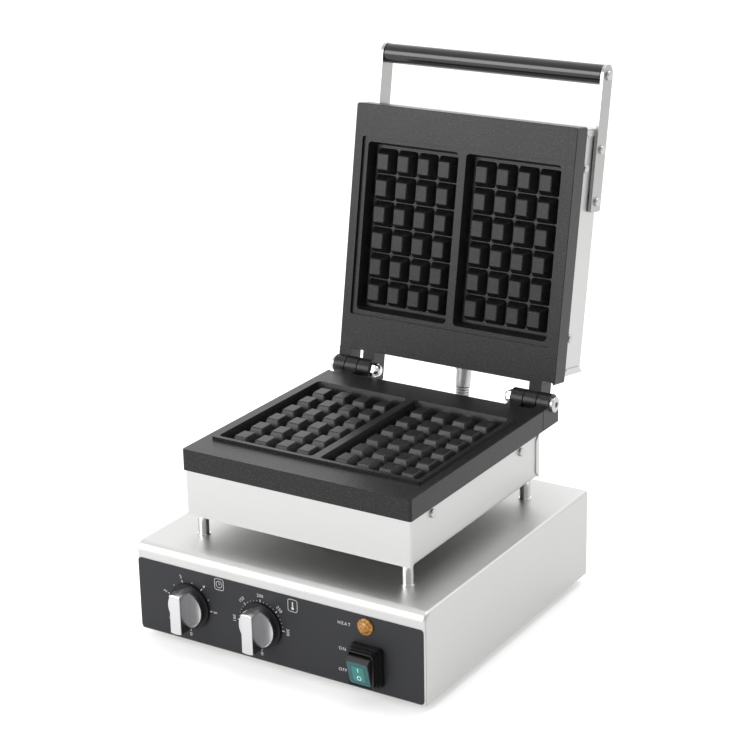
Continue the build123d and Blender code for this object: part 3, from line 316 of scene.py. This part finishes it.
def add_bump(tree, shader, height, distance):
    """Feed a height through one bump node into the shader's normal."""
    bump = add_node(tree, "ShaderNodeBump", 250, -350)
    bump.inputs["Distance"].default_value = distance
    link(tree, height, bump.inputs["Height"])
    link(tree, bump.outputs["Normal"], shader.inputs["Normal"])


def sheet_metal(name, colour, roughness, line_scale=1100.0, spread=0.10, bump=0.02 * MM):
    """Metal with brush lines, a little darker between them, and faint clouds."""
    material, tree, shader = start_material(name, metallic=1.0)
    place = add_node(tree, "ShaderNodeTexCoord", -900, 0)
    grain = add_node(tree, "ShaderNodeGroup", -650, 0)
    grain.node_tree = shared_group("Rolled grain", rolled_grain_group)
    grain.inputs["Line Scale"].default_value = line_scale
    link(tree, place.outputs["Object"], grain.inputs["Vector"])
    link(tree, place.outputs["Normal"], grain.inputs["Normal"])
    dim = [part * 0.90 for part in colour[:3]]
    tint = blend_colours(tree, grain.outputs["Lines"], dim, colour, 0, 250)
    link(tree, tint, shader.inputs["Base Color"])
    low, high = roughness - spread / 2, roughness + spread / 2
    lines = map_range(tree, grain.outputs["Lines"], low, high, -250, 0)
    clouds = map_range(tree, grain.outputs["Clouds"], -spread / 3, spread / 3, -250, -250)
    total = add_node(tree, "ShaderNodeMath", 0, -50, operation="ADD", use_clamp=True)
    link(tree, lines, total.inputs[0])
    link(tree, clouds, total.inputs[1])
    link(tree, total.outputs["Value"], shader.inputs["Roughness"])
    add_bump(tree, shader, grain.outputs["Lines"], bump)
    return material


def grained(name, colour, roughness, grain_scale, bump, light=1.25, specks=0.0, speck_colour=None,
            spread=0.12, specular=0.5):
    """Coat, moulding or rubber with fine grain, faint clouds and, if asked, bright specks."""
    material, tree, shader = start_material(name, specular=specular)
    place = add_node(tree, "ShaderNodeTexCoord", -900, 0)
    grain = add_node(tree, "ShaderNodeGroup", -650, 0)
    grain.node_tree = shared_group("Fine grain", fine_grain_group)
    grain.inputs["Grain Scale"].default_value = grain_scale
    link(tree, place.outputs["Object"], grain.inputs["Vector"])
    bright = [min(1.0, part * light) for part in colour[:3]]
    dim = [part / light for part in colour[:3]]
    tint = blend_colours(tree, grain.outputs["Grain"], dim, bright, -100, 250)
    if specks:
        amount = map_range(tree, grain.outputs["Specks"], 0, specks, -100, 450)
        tint = blend_colours(tree, amount, tint, speck_colour, 150, 300)
    link(tree, tint, shader.inputs["Base Color"])
    low, high = roughness - spread / 2, roughness + spread / 2
    rough = map_range(tree, grain.outputs["Clouds"], low, high, -250, 0)
    link(tree, rough, shader.inputs["Roughness"])
    add_bump(tree, shader, grain.outputs["Grain"], bump)
    return material


def silver_knob(name, colour, shaded_flank_colour):
    """Bright brushed knob with painted shade: faces that point along X, the grip flanks, are painted
    darker than its other faces.
    """
    material = sheet_metal(name, colour, 0.24, line_scale=3000, spread=0.08, bump=0.004 * MM)
    tree = material.node_tree
    shader = tree.nodes["Principled BSDF"]
    tint = shader.inputs["Base Color"].links[0].from_socket
    # painted shade: faces turned towards X, the grip flanks, blend into the darker flank colour,
    # standing in for a darker surround they reflect
    place = add_node(tree, "ShaderNodeTexCoord", -650, 500)
    split = add_node(tree, "ShaderNodeSeparateXYZ", -400, 500)
    link(tree, place.outputs["Normal"], split.inputs["Vector"])
    sideways = add_node(tree, "ShaderNodeMath", -200, 500, operation="ABSOLUTE")
    link(tree, split.outputs["X"], sideways.inputs[0])
    flank = map_range(tree, sideways.outputs["Value"], 0, 1, 0, 500, from_low=0.5, from_high=0.95)
    darker = blend_colours(tree, flank, tint, shaded_flank_colour, 250, 400)
    link(tree, darker, shader.inputs["Base Color"])
    return material


def amber_lens(name, colour):
    """Clear amber moulding with painted glints: cells of darker and brighter amber stand in for light
    from its inner facets.
    """
    material, tree, shader = start_material(name)
    shader.inputs["Coat Weight"].default_value = 0.15
    shader.inputs["Coat Roughness"].default_value = 0.1
    place = add_node(tree, "ShaderNodeTexCoord", -900, 0)
    cells = add_node(tree, "ShaderNodeTexVoronoi", -650, 0)
    cells.inputs["Scale"].default_value = 420
    link(tree, place.outputs["Object"], cells.inputs["Vector"])
    # painted glints: across each cell the colour runs from dark to bright amber
    dark = [part * 0.30 for part in colour[:3]]
    bright = [min(1.0, part * 1.5) for part in colour[:3]]
    tint = blend_colours(tree, cells.outputs["Distance"], dark, bright, 0, 250)
    link(tree, tint, shader.inputs["Base Color"])
    rough = map_range(tree, cells.outputs["Distance"], 0.12, 0.38, -250, 0)
    link(tree, rough, shader.inputs["Roughness"])
    add_bump(tree, shader, cells.outputs["Distance"], 0.4 * MM)
    return material


def paint(piece, material):
    """Give a piece one material."""
    piece.data.materials.clear()
    piece.data.materials.append(material)


# ---- Modelling helpers -----------------------------------------------------------------------------
def deselect():
    """Leave edit mode and select nothing."""
    if bpy.context.object and bpy.context.object.mode != "OBJECT":
        bpy.ops.object.mode_set(mode="OBJECT")
    bpy.ops.object.select_all(action="DESELECT")


def settle(piece):
    """Put the piece's place, turn and size into its mesh."""
    deselect()
    piece.select_set(True)
    bpy.context.view_layer.objects.active = piece
    bpy.ops.object.transform_apply(location=True, rotation=True, scale=True)


def join_all(pieces, name):
    """Join several meshes into one named piece."""
    deselect()
    for piece in pieces:
        piece.select_set(True)
    bpy.context.view_layer.objects.active = pieces[0]
    bpy.ops.object.join()
    pieces[0].name = name
    pieces[0].data.name = name
    return pieces[0]


def on_panel(centre, radius, angle):
    """Place on the panel face at a radius and angle round a control, angle from +X towards +Z."""
    x = centre[0] + radius * math.cos(angle)
    z = centre[1] + radius * math.sin(angle)
    return (x, PANEL_Y, z)


def rounded_plate(place, width, height, angle, tilt, corner, steps):
    """Flat rectangle on the panel, left in edit mode, whose corners are rounded by a share of its
    shorter side."""
    deselect()
    bpy.ops.mesh.primitive_plane_add(size=1, location=place, rotation=(math.pi / 2 + tilt, -angle, 0))
    plate = bpy.context.object
    plate.scale = (width, height, 1)
    settle(plate)
    bpy.ops.object.mode_set(mode="EDIT")
    bpy.ops.mesh.select_all(action="SELECT")
    bpy.ops.mesh.bevel(offset=corner * min(width, height), segments=steps, affect="VERTICES")
    return plate


def keep_edge(line):
    """Cut the middle out of the flat shape in edit mode and keep an edge as wide as the line."""
    bpy.ops.mesh.select_all(action="SELECT")
    bpy.ops.mesh.inset(thickness=line, depth=0)
    bpy.ops.mesh.delete(type="FACE")


def thicken(lift, tilt=0.0):
    """Raise the flat shape in edit mode off the panel, then leave edit mode."""
    bpy.ops.mesh.select_all(action="SELECT")
    outward = (0, -lift * math.cos(tilt), -lift * math.sin(tilt))
    bpy.ops.mesh.extrude_region_move(TRANSFORM_OT_translate={"value": outward})
    bpy.ops.mesh.select_all(action="SELECT")
    bpy.ops.mesh.normals_make_consistent(inside=False)
    bpy.ops.object.mode_set(mode="OBJECT")


def flat_bar(place, length, width, angle, lift, corner=0.25, tilt=0.0):
    """Rounded flat bar that lies on the panel with its length at the angle."""
    bar = rounded_plate(place, length, width, angle, tilt, corner, steps=2)
    thicken(lift, tilt)
    return bar


def flat_frame(place, width, height, line, lift):
    """Outline of a rounded rectangle that lies on the panel."""
    outline = rounded_plate(place, width, height, 0, 0, corner=0.22, steps=3)
    keep_edge(line)
    thicken(lift)
    return outline


def flat_ring(place, radius, line, lift, tilt=0.0):
    """Flat printed ring."""
    deselect()
    bpy.ops.mesh.primitive_circle_add(
        vertices=28, radius=radius, fill_type="NGON", location=place,
        rotation=(math.pi / 2 + tilt, 0, 0))
    ring = bpy.context.object
    settle(ring)
    bpy.ops.object.mode_set(mode="EDIT")
    keep_edge(line)
    thicken(lift, tilt)
    return ring


def turned_copy(piece, centre, angle):
    """Copy of a piece, with its own mesh, turned round a control by the angle."""
    deselect()
    piece.select_set(True)
    bpy.context.view_layer.objects.active = piece
    bpy.ops.object.duplicate()
    copy = bpy.context.object
    hub = Vector((centre[0], 0, centre[1]))
    turn = Matrix.Rotation(-angle, 4, "Y")
    copy.matrix_world = Matrix.Translation(hub) @ turn @ Matrix.Translation(-hub)
    settle(copy)
    return copy


def dial_ticks(centre, radius, angles, size, lift, corner=0.25):
    """Ticks round a control at the angles: the first is modelled, and the others are copies of it."""
    first = flat_bar(on_panel(centre, radius, angles[0]), *size, angles[0], lift, corner)
    return [first, *(turned_copy(first, centre, angle - angles[0]) for angle in angles[1:])]


def lettering(words, place, size, angle, height, spacing=1.0):
    """Flat letters on the panel, centred on the place and turned by the angle."""
    deselect()
    bpy.ops.object.text_add(location=place, rotation=(math.pi / 2, -angle, 0))
    letters = bpy.context.object
    letters.data.body = words
    letters.data.size = size
    letters.data.align_x = "CENTER"
    letters.data.align_y = "CENTER"
    letters.data.space_character = spacing
    letters.data.resolution_u = 3
    letters.data.extrude = height
    bpy.ops.object.convert(target="MESH")
    letters = bpy.context.object
    settle(letters)
    return letters


# ---- Stage -----------------------------------------------------------------------------------------
def pale_floor():
    """Wide matt floor with a faint glow of its own."""
    deselect()
    bpy.ops.mesh.primitive_plane_add(size=24, location=(0, 0, 0))
    floor = bpy.context.object
    floor.name = "studio_floor"
    settle(floor)
    material, tree, shader = start_material("Pale floor", specular=0.1)
    shader.inputs["Roughness"].default_value = 0.9
    shader.inputs["Emission Color"].default_value = (1, 1, 1, 1)
    shader.inputs["Emission Strength"].default_value = 0.32
    place = add_node(tree, "ShaderNodeTexCoord", -900, 0)
    noise = add_node(tree, "ShaderNodeTexNoise", -650, 0)
    noise.inputs["Scale"].default_value = 3
    link(tree, place.outputs["Object"], noise.inputs["Vector"])
    tint = blend_colours(tree, noise.outputs["Fac"], (0.68, 0.68, 0.68), (0.71, 0.71, 0.71), 0, 200)
    link(tree, tint, shader.inputs["Base Color"])
    paint(floor, material)
    return floor


def add_softboxes():
    """Square area lights, each turned to the point it faces."""
    for name, place, target, side, power in SOFTBOXES:
        bpy.ops.object.light_add(type="AREA", location=place)
        lamp = bpy.context.object
        lamp.name = name
        lamp.data.size = side
        lamp.data.energy = power
        aim = (Vector(target) - Vector(place)).to_track_quat("-Z", "Y")
        lamp.rotation_euler = aim.to_euler()


def add_surround():
    """White surround that grows brighter towards one direction."""
    world = bpy.data.worlds.new("Studio surround")
    bpy.context.scene.world = world
    world.use_nodes = True
    tree = world.node_tree
    background = tree.nodes["Background"]
    background.inputs["Color"].default_value = (1, 1, 1, 1)
    place = add_node(tree, "ShaderNodeTexCoord", -900, 0)
    toward = add_node(tree, "ShaderNodeVectorMath", -650, 0, operation="DOT_PRODUCT")
    toward.inputs[1].default_value = BRIGHTEST_SKY
    link(tree, place.outputs["Generated"], toward.inputs[0])
    glow = map_range(
        tree, toward.outputs["Value"], 0.78, 1.60, -350, 0, from_low=-0.2, from_high=0.9)
    link(tree, glow, background.inputs["Strength"])


def add_camera():
    """Camera of the product view."""
    bpy.ops.object.camera_add(location=CAMERA_PLACE)
    camera = bpy.context.object
    camera.name = "product_camera"
    az, el, roll = CAMERA_AZIMUTH, CAMERA_ELEVATION, CAMERA_ROLL
    right = Vector((math.cos(az), math.sin(az), 0))
    back = Vector((math.sin(az) * math.cos(el), -math.cos(az) * math.cos(el), math.sin(el)))
    up = back.cross(right)
    side = math.cos(roll) * right + math.sin(roll) * up
    over = back.cross(side)
    turn = Matrix((side, over, back)).transposed()
    camera.matrix_world = Matrix.Translation(CAMERA_PLACE) @ turn.to_4x4()
    camera.data.lens = CAMERA_LENS
    camera.data.sensor_width = 36
    camera.data.shift_x, camera.data.shift_y = CAMERA_SHIFT
    camera.data.clip_end = 60
    bpy.context.scene.camera = camera


# ---- Marks on the panel ----------------------------------------------------------------------------
def timer_scale(sizes, lift):
    """Minutes 0 to 5 clockwise from the bottom, with a dot between each two."""
    minutes = [math.radians(ZERO_ANGLE - MINUTE_STEP * minute) for minute in range(6)]
    halves = [angle - math.radians(MINUTE_STEP / 2) for angle in minutes[:-1]]
    marks = dial_ticks(TIMER_CENTRE, sizes.tick_radius, minutes, TICK, lift)
    marks += dial_ticks(TIMER_CENTRE, sizes.tick_radius, halves, DOT, lift, corner=0.4)
    for minute, angle in enumerate(minutes):
        place = on_panel(TIMER_CENTRE, sizes.numeral_radius, angle)
        turn = 0 if minute == 0 else angle - math.pi / 2
        marks.append(lettering(str(minute), place, sizes.numeral_height, turn, lift))
    return marks


def thermostat_scale(sizes, lift):
    """0 at the bottom, then 100 to 300 clockwise over the top, with a short tick for each ten."""
    zero = math.radians(ZERO_ANGLE)
    tens = [math.radians(COOLEST_ANGLE - TEN_DEGREES_STEP * step) for step in range(21)]
    fifties = tens[::5]
    between = [angle for step, angle in enumerate(tens) if step % 5]
    marks = dial_ticks(THERMOSTAT_CENTRE, sizes.tick_radius, [zero, *fifties], TICK, lift)
    short_radius = sizes.tick_radius - 0.4 * MM
    marks += dial_ticks(THERMOSTAT_CENTRE, short_radius, between, SHORT_TICK, lift)
    place = on_panel(THERMOSTAT_CENTRE, sizes.numeral_radius, zero)
    marks.append(lettering("0", place, sizes.numeral_height, 0, lift))
    height = sizes.numeral_height * 0.86
    for step, angle in enumerate(fifties):
        place = on_panel(THERMOSTAT_CENTRE, sizes.numeral_radius + 0.3 * MM, angle)
        degrees = str(100 + 50 * step)
        marks.append(lettering(degrees, place, height, angle - math.pi / 2, lift, spacing=1.1))
    return marks


def clock_symbol(lift):
    """Framed clock face with its two hands."""
    x, z = CLOCK_CENTRE
    long_hand, short_hand = 2.2 * MM, 1.6 * MM
    return [
        flat_frame((x, PANEL_Y, z), 10 * MM, 11 * MM, SYMBOL_LINE, lift),
        flat_ring((x, PANEL_Y, z), 3.4 * MM, SYMBOL_LINE, lift),
        flat_bar((x, PANEL_Y, z + long_hand / 2), long_hand, SYMBOL_LINE, math.pi / 2, lift),
        flat_bar((x + short_hand / 2, PANEL_Y, z), short_hand, SYMBOL_LINE, 0, lift),
    ]


def thermometer_symbol(lift):
    """Framed thermometer with its stem over its bulb."""
    x, z = THERMOMETER_CENTRE
    stem_height, stem_width, bulb = 5.4 * MM, 1.1 * MM, 2.8 * MM
    stem_place = (x, PANEL_Y, z + 0.9 * MM)
    bulb_place = (x, PANEL_Y, z - 2.6 * MM)
    return [
        flat_frame((x, PANEL_Y, z), 10 * MM, 12 * MM, SYMBOL_LINE, lift),
        flat_bar(stem_place, stem_height, stem_width, math.pi / 2, lift, corner=0.45),
        flat_bar(bulb_place, bulb, bulb, 0, lift, corner=0.45),
    ]


def on_rocker(height, proud=0.0):
    """Place on the rocker's flat face at a height above its middle."""
    cosine, sine = math.cos(ROCKER_TILT), math.sin(ROCKER_TILT)
    reach = ROCKER_REACH + proud
    x, y, z = ROCKER_PIVOT
    return (x, y - reach * cosine - height * sine, z + height * cosine - reach * sine)


# ---- Conduit ---------------------------------------------------------------------------------------
def conduit_path():
    """Smooth curve along the conduit's route; returns its object and its length."""
    route = bpy.data.curves.new("conduit_route", "CURVE")
    route.dimensions = "3D"
    spline = route.splines.new("NURBS")
    spline.points.add(len(CONDUIT_ROUTE) - 1)
    for point, (y, z) in zip(spline.points, CONDUIT_ROUTE):
        point.co = (0, y * MM + BASE_MIDDLE_Y, z * MM, 1)
    spline.order_u = 3
    spline.use_endpoint_u = True
    spline.resolution_u = 16
    path = bpy.data.objects.new("conduit_route", route)
    bpy.context.collection.objects.link(path)
    return path, spline.calc_length()


def one_rib(pitch, depth):
    """One rib of the conduit, upright: up the flank, over the crest, down the flank and the groove."""
    groove = CONDUIT_RADIUS - depth
    bpy.ops.mesh.primitive_circle_add(
        vertices=28, radius=groove, fill_type="NOTHING", location=(0, 0, 0))
    rib = bpy.context.object
    bpy.ops.object.mode_set(mode="EDIT")
    bpy.ops.mesh.select_all(action="SELECT")
    grow = CONDUIT_RADIUS / groove
    for rise, resize in ((0.22, grow), (0.32, 1.0), (0.22, 1 / grow), (0.24, 1.0)):
        bpy.ops.mesh.extrude_region_move(TRANSFORM_OT_translate={"value": (0, 0, rise * pitch)})
        bpy.ops.transform.resize(value=(resize, resize, 1), center_override=(0, 0, 0))
    bpy.ops.object.mode_set(mode="OBJECT")
    settle(rib)
    return rib


def repeat_along(rib, count, pitch, path):
    """Array the rib, bend the row along the path and point its faces outwards."""
    repeat = rib.modifiers.new("Ribs", "ARRAY")
    repeat.use_relative_offset = False
    repeat.use_constant_offset = True
    repeat.constant_offset_displace = (0, 0, pitch)
    repeat.count = count
    repeat.use_merge_vertices = True
    repeat.merge_threshold = 0.02 * MM
    bpy.ops.object.modifier_apply(modifier=repeat.name)
    follow = rib.modifiers.new("Route", "CURVE")
    follow.object = path
    follow.deform_axis = "POS_Z"
    bpy.ops.object.modifier_apply(modifier=follow.name)
    bpy.ops.object.mode_set(mode="EDIT")
    bpy.ops.mesh.select_all(action="SELECT")
    bpy.ops.mesh.normals_make_consistent(inside=False)
    bpy.ops.object.mode_set(mode="OBJECT")
    bpy.ops.object.shade_smooth_by_angle(angle=math.radians(40))


def part_above(piece, height, name):
    """Part the faces above a height from a piece; returns them as a new piece."""
    deselect()
    piece.select_set(True)
    bpy.context.view_layer.objects.active = piece
    bpy.ops.object.mode_set(mode="EDIT")
    bpy.ops.mesh.select_all(action="DESELECT")
    bpy.ops.mesh.select_mode(type="FACE")
    bpy.ops.object.mode_set(mode="OBJECT")
    for face in piece.data.polygons:
        face.select = face.center.z > height
    bpy.ops.object.mode_set(mode="EDIT")
    bpy.ops.mesh.separate(type="SELECTED")
    bpy.ops.object.mode_set(mode="OBJECT")
    upper = next(other for other in bpy.context.selected_objects if other != piece)
    upper.name = name
    upper.data.name = name
    return upper


# ---- Operators -------------------------------------------------------------------------------------
class WAFFLE_OT_stage(bpy.types.Operator):
    """Pale floor, soft studio lights and the product camera"""

    bl_idname = "waffle.stage"
    bl_label = "Stage"

    def execute(self, context):
        floor = pale_floor()
        add_softboxes()
        add_surround()
        add_camera()
        context.scene.view_settings.view_transform = "Standard"
        return {"FINISHED"}


class WAFFLE_OT_finishes(bpy.types.Operator):
    """Give every part its finish"""

    bl_idname = "waffle.finishes"
    bl_label = "Finishes"

    def execute(self, context):
        colours = context.scene.waffle_colours
        slots = {s["node"]: s["material_slot"] for s in frame["record"]["subparts"]}
        finishes = {
            "stainless": sheet_metal("Satin stainless", colours.sheet, 0.42),
            "polished_steel": sheet_metal(
                "Polished steel", (0.74, 0.74, 0.735), 0.16, line_scale=1600, spread=0.06,
                bump=0.005 * MM),
            "zinc_fastener": sheet_metal(
                "Plated fastener", (0.48, 0.48, 0.475), 0.30, line_scale=2400, bump=0.01 * MM),
            "coated_casting": grained(
                "Coated casting", colours.casting, 0.34, 800, 0.12 * MM, light=2.0, specks=0.7,
                speck_colour=(0.085, 0.085, 0.087), spread=0.10, specular=0.27),
            "plain_steel": sheet_metal(
                "Mill steel", (0.52, 0.52, 0.50), 0.42, line_scale=600, spread=0.16),
            "element_steel": sheet_metal(
                "Oxidised tube", (0.20, 0.18, 0.16), 0.55, line_scale=700, spread=0.2),
            "insulation": grained(
                "Fibre mat", (0.72, 0.69, 0.60), 0.95, 260, 0.6 * MM, light=1.2),
            "black_grip": grained(
                "Glossy black grip", (0.004, 0.004, 0.0045), 0.18, 1200, 0.004 * MM, light=1.3,
                spread=0.08),
            # the last colour is the painted shade on the knob's grip flanks
            "silver_knob": silver_knob(
                "Satin silver knob", (0.60, 0.59, 0.60), (0.26, 0.26, 0.265)),
            "black_plastic": grained(
                "Black moulding", (0.006, 0.006, 0.007), 0.35, 1600, 0.01 * MM, specular=0.22),
            "black_rubber": grained(
                "Black rubber boot", (0.004, 0.004, 0.0045), 0.34, 1400, 0.02 * MM, specular=0.3),
            "rocker_teal": grained(
                "Rocker sides", (0.007, 0.007, 0.007), 0.42, 1200, 0.02 * MM),
            "lamp_amber": amber_lens("Amber lens", colours.lamp),
            "panel_foil": grained(
                "Panel foil", colours.foil, 0.5, 2600, 0.012 * MM, light=1.12, specks=0.1,
                speck_colour=(0.06, 0.06, 0.06), specular=0.34),
            "feet_rubber": grained(
                "Rubber foot", (0.012, 0.012, 0.012), 0.7, 900, 0.05 * MM),
            "control_body": grained(
                "Natural moulding", (0.60, 0.56, 0.48), 0.5, 700, 0.02 * MM),
            "ceramic": grained("Glazed body", (0.80, 0.77, 0.70), 0.25, 400, 0.01 * MM),
            "lead_sleeve": grained("Red sleeve", (0.30, 0.02, 0.015), 0.6, 1800, 0.05 * MM),
            "copper_tube": sheet_metal(
                "Copper tube", (0.75, 0.40, 0.27), 0.3, line_scale=1500),
            "conduit_steel": sheet_metal(
                "Conduit steel", (0.46, 0.46, 0.455), 0.36, line_scale=1800),
        }
        for node, piece in frame["nodes"].items():
            paint(piece, finishes[slots[node]])
        arm_steel = sheet_metal("Arm steel", (0.38, 0.38, 0.375), 0.30)
        for node in ("handle_arm_left", "handle_arm_right"):
            paint(frame["nodes"][node], arm_steel)
        ferrule = sheet_metal(
            "Turned ferrule", (0.50, 0.50, 0.495), 0.40, line_scale=900, spread=0.12)
        paint(frame["nodes"]["conduit_ferrule"], ferrule)
        return {"FINISHED"}


class WAFFLE_OT_panel_print(bpy.types.Operator):
    """Dial scales, words and symbols printed on the front foil"""

    bl_idname = "waffle.panel_print"
    bl_label = "Panel Print"

    def execute(self, context):
        sizes = context.scene.waffle_sizes
        colours = context.scene.waffle_colours
        lift = sizes.print_thickness
        marks = timer_scale(sizes, lift) + thermostat_scale(sizes, lift)
        for word, x, z, spacing in WORDS:
            marks.append(lettering(word, (x, PANEL_Y, z), WORD_HEIGHT, 0, lift, spacing))
        marks += clock_symbol(lift) + thermometer_symbol(lift)
        panel_print = join_all(marks, "panel_print")
        paint(panel_print, grained(
            "Pale print", colours.print_colour, 0.55, 2600, 0.004 * MM, light=1.08))
        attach(panel_print, "base")
        return {"FINISHED"}


class WAFFLE_OT_rocker_marks(bpy.types.Operator):
    """Lighter window of the rocker with its two symbols"""

    bl_idname = "waffle.rocker_marks"
    bl_label = "Rocker Marks"

    def execute(self, context):
        lift = context.scene.waffle_sizes.print_thickness
        red, green, blue, _ = context.scene.waffle_colours.rocker
        face = flat_bar(on_rocker(0), *ROCKER_FACE, 0, 0.35 * MM, 0.10, ROCKER_TILT)
        face.name = "rocker_face"
        paint(face, grained(
            "Teal rocker", (red, green, blue), 0.34, 800, 0.003 * MM, light=1.12))
        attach(face, "rocker")

        window_place = on_rocker(-0.3 * MM, proud=0.3 * MM)
        window = flat_bar(window_place, *ROCKER_WINDOW, 0, 0.2 * MM, 0.08, ROCKER_TILT)
        window.name = "rocker_window"
        lighter = (red * 0.7, green * 2.3, blue * 1.8)
        paint(window, grained("Teal window", lighter, 0.25, 800, 0.003 * MM, light=1.1))
        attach(window, "rocker")

        proud = 0.48 * MM
        stroke_place = on_rocker(4.0 * MM, proud)
        stroke = flat_bar(stroke_place, 0.55 * MM, 4.2 * MM, 0, lift, 0.3, ROCKER_TILT)
        ring = flat_ring(on_rocker(-4.6 * MM, proud), 2.2 * MM, 0.5 * MM, lift, ROCKER_TILT)
        symbols = join_all([stroke, ring], "rocker_symbols")
        paint(symbols, grained(
            "Rocker print", (0.75, 0.80, 0.80), 0.5, 2600, 0.003 * MM, light=1.08))
        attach(symbols, "rocker")
        return {"FINISHED"}


class WAFFLE_OT_lamp_lens(bpy.types.Operator):
    """Faceted lens of the pilot lamp with its rim"""

    bl_idname = "waffle.lamp_lens"
    bl_label = "Lamp Lens"

    def execute(self, context):
        sizes = context.scene.waffle_sizes
        low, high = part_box("lamp_lens")
        radius = (high[0] - low[0]) / 2
        depth = high[1] - low[1]
        seat = (LAMP_CENTRE[0], high[1], LAMP_CENTRE[1])
        deselect()
        bpy.ops.mesh.primitive_circle_add(
            vertices=sizes.lens_facets, radius=radius, fill_type="NGON", location=seat,
            rotation=(math.pi / 2, 0, 0))
        lens = context.object
        lens.name = "lamp_facets"
        settle(lens)
        bpy.ops.object.mode_set(mode="EDIT")
        bpy.ops.mesh.select_all(action="SELECT")
        for reach, shrink in LENS_ROWS:
            bpy.ops.mesh.extrude_region_move(
                TRANSFORM_OT_translate={"value": (0, -reach * depth, 0)})
            bpy.ops.transform.resize(value=(shrink, 1, shrink), center_override=seat)
        bpy.ops.mesh.select_all(action="SELECT")
        bpy.ops.mesh.normals_make_consistent(inside=False)
        bpy.ops.object.mode_set(mode="OBJECT")
        bevel = lens.modifiers.new("Soft edges", "BEVEL")
        bevel.width = 0.12 * MM
        bevel.segments = 2
        bevel.limit_method = "ANGLE"
        bpy.ops.object.modifier_apply(modifier=bevel.name)
        paint(lens, bpy.data.materials["Amber lens"])
        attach(lens, "base")
        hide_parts("lamp_lens")
        return {"FINISHED"}


class WAFFLE_OT_conduit(bpy.types.Operator):
    """Corrugated conduit that bends between the back panel and the lid"""

    bl_idname = "waffle.conduit"
    bl_label = "Conduit"

    def execute(self, context):
        sizes = context.scene.waffle_sizes
        deselect()
        path, length = conduit_path()
        count = round(length / sizes.rib_pitch)
        pitch = length / count
        sleeve = one_rib(pitch, sizes.rib_depth)
        sleeve.name = "conduit_sleeve"
        repeat_along(sleeve, count, pitch, path)
        bpy.data.objects.remove(path)
        paint(sleeve, bpy.data.materials["Conduit steel"])

        # the run out of the gland stays still, so it is parted from the rise above it; only the run is
        # attached to the base
        rise = part_above(sleeve, RISE_HEIGHT, "conduit_rise")
        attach(sleeve, "base")
        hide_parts("conduit")
        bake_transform(rise)
        return {"FINISHED"}


class WAFFLE_PT_panel(bpy.types.Panel):
    """Lists the pieces in the sidebar"""

    bl_idname = "WAFFLE_PT_panel"
    bl_label = "Waffle Maker"
    bl_space_type = "VIEW_3D"
    bl_region_type = "UI"
    bl_category = "Waffle Maker"

    def draw(self, context):
        for group in (context.scene.waffle_sizes, context.scene.waffle_colours):
            for name in group.bl_rna.properties.keys():
                if name not in {"rna_type", "name"}:
                    self.layout.prop(group, name)
        for operator in OPERATORS:
            self.layout.operator(operator.bl_idname)


OPERATORS = (
    WAFFLE_OT_stage,
    WAFFLE_OT_finishes,
    WAFFLE_OT_panel_print,
    WAFFLE_OT_rocker_marks,
    WAFFLE_OT_lamp_lens,
    WAFFLE_OT_conduit,
)
CLASSES = (WaffleSizes, WaffleColours, *OPERATORS, WAFFLE_PT_panel)


def register():
    """Register the classes and hang the settings on the scene."""
    for item in CLASSES:
        bpy.utils.register_class(item)
    bpy.types.Scene.waffle_sizes = PointerProperty(type=WaffleSizes)
    bpy.types.Scene.waffle_colours = PointerProperty(type=WaffleColours)


def unregister():
    """Take the settings and classes away again."""
    del bpy.types.Scene.waffle_colours
    del bpy.types.Scene.waffle_sizes
    for item in reversed(CLASSES):
        bpy.utils.unregister_class(item)


def main():
    """Build everything in order."""
    register()
    bpy.ops.waffle.stage()
    bpy.ops.waffle.finishes()
    bpy.ops.waffle.panel_print()
    bpy.ops.waffle.rocker_marks()
    bpy.ops.waffle.lamp_lens()
    bpy.ops.waffle.conduit()


if __name__ == "__main__":
    main()
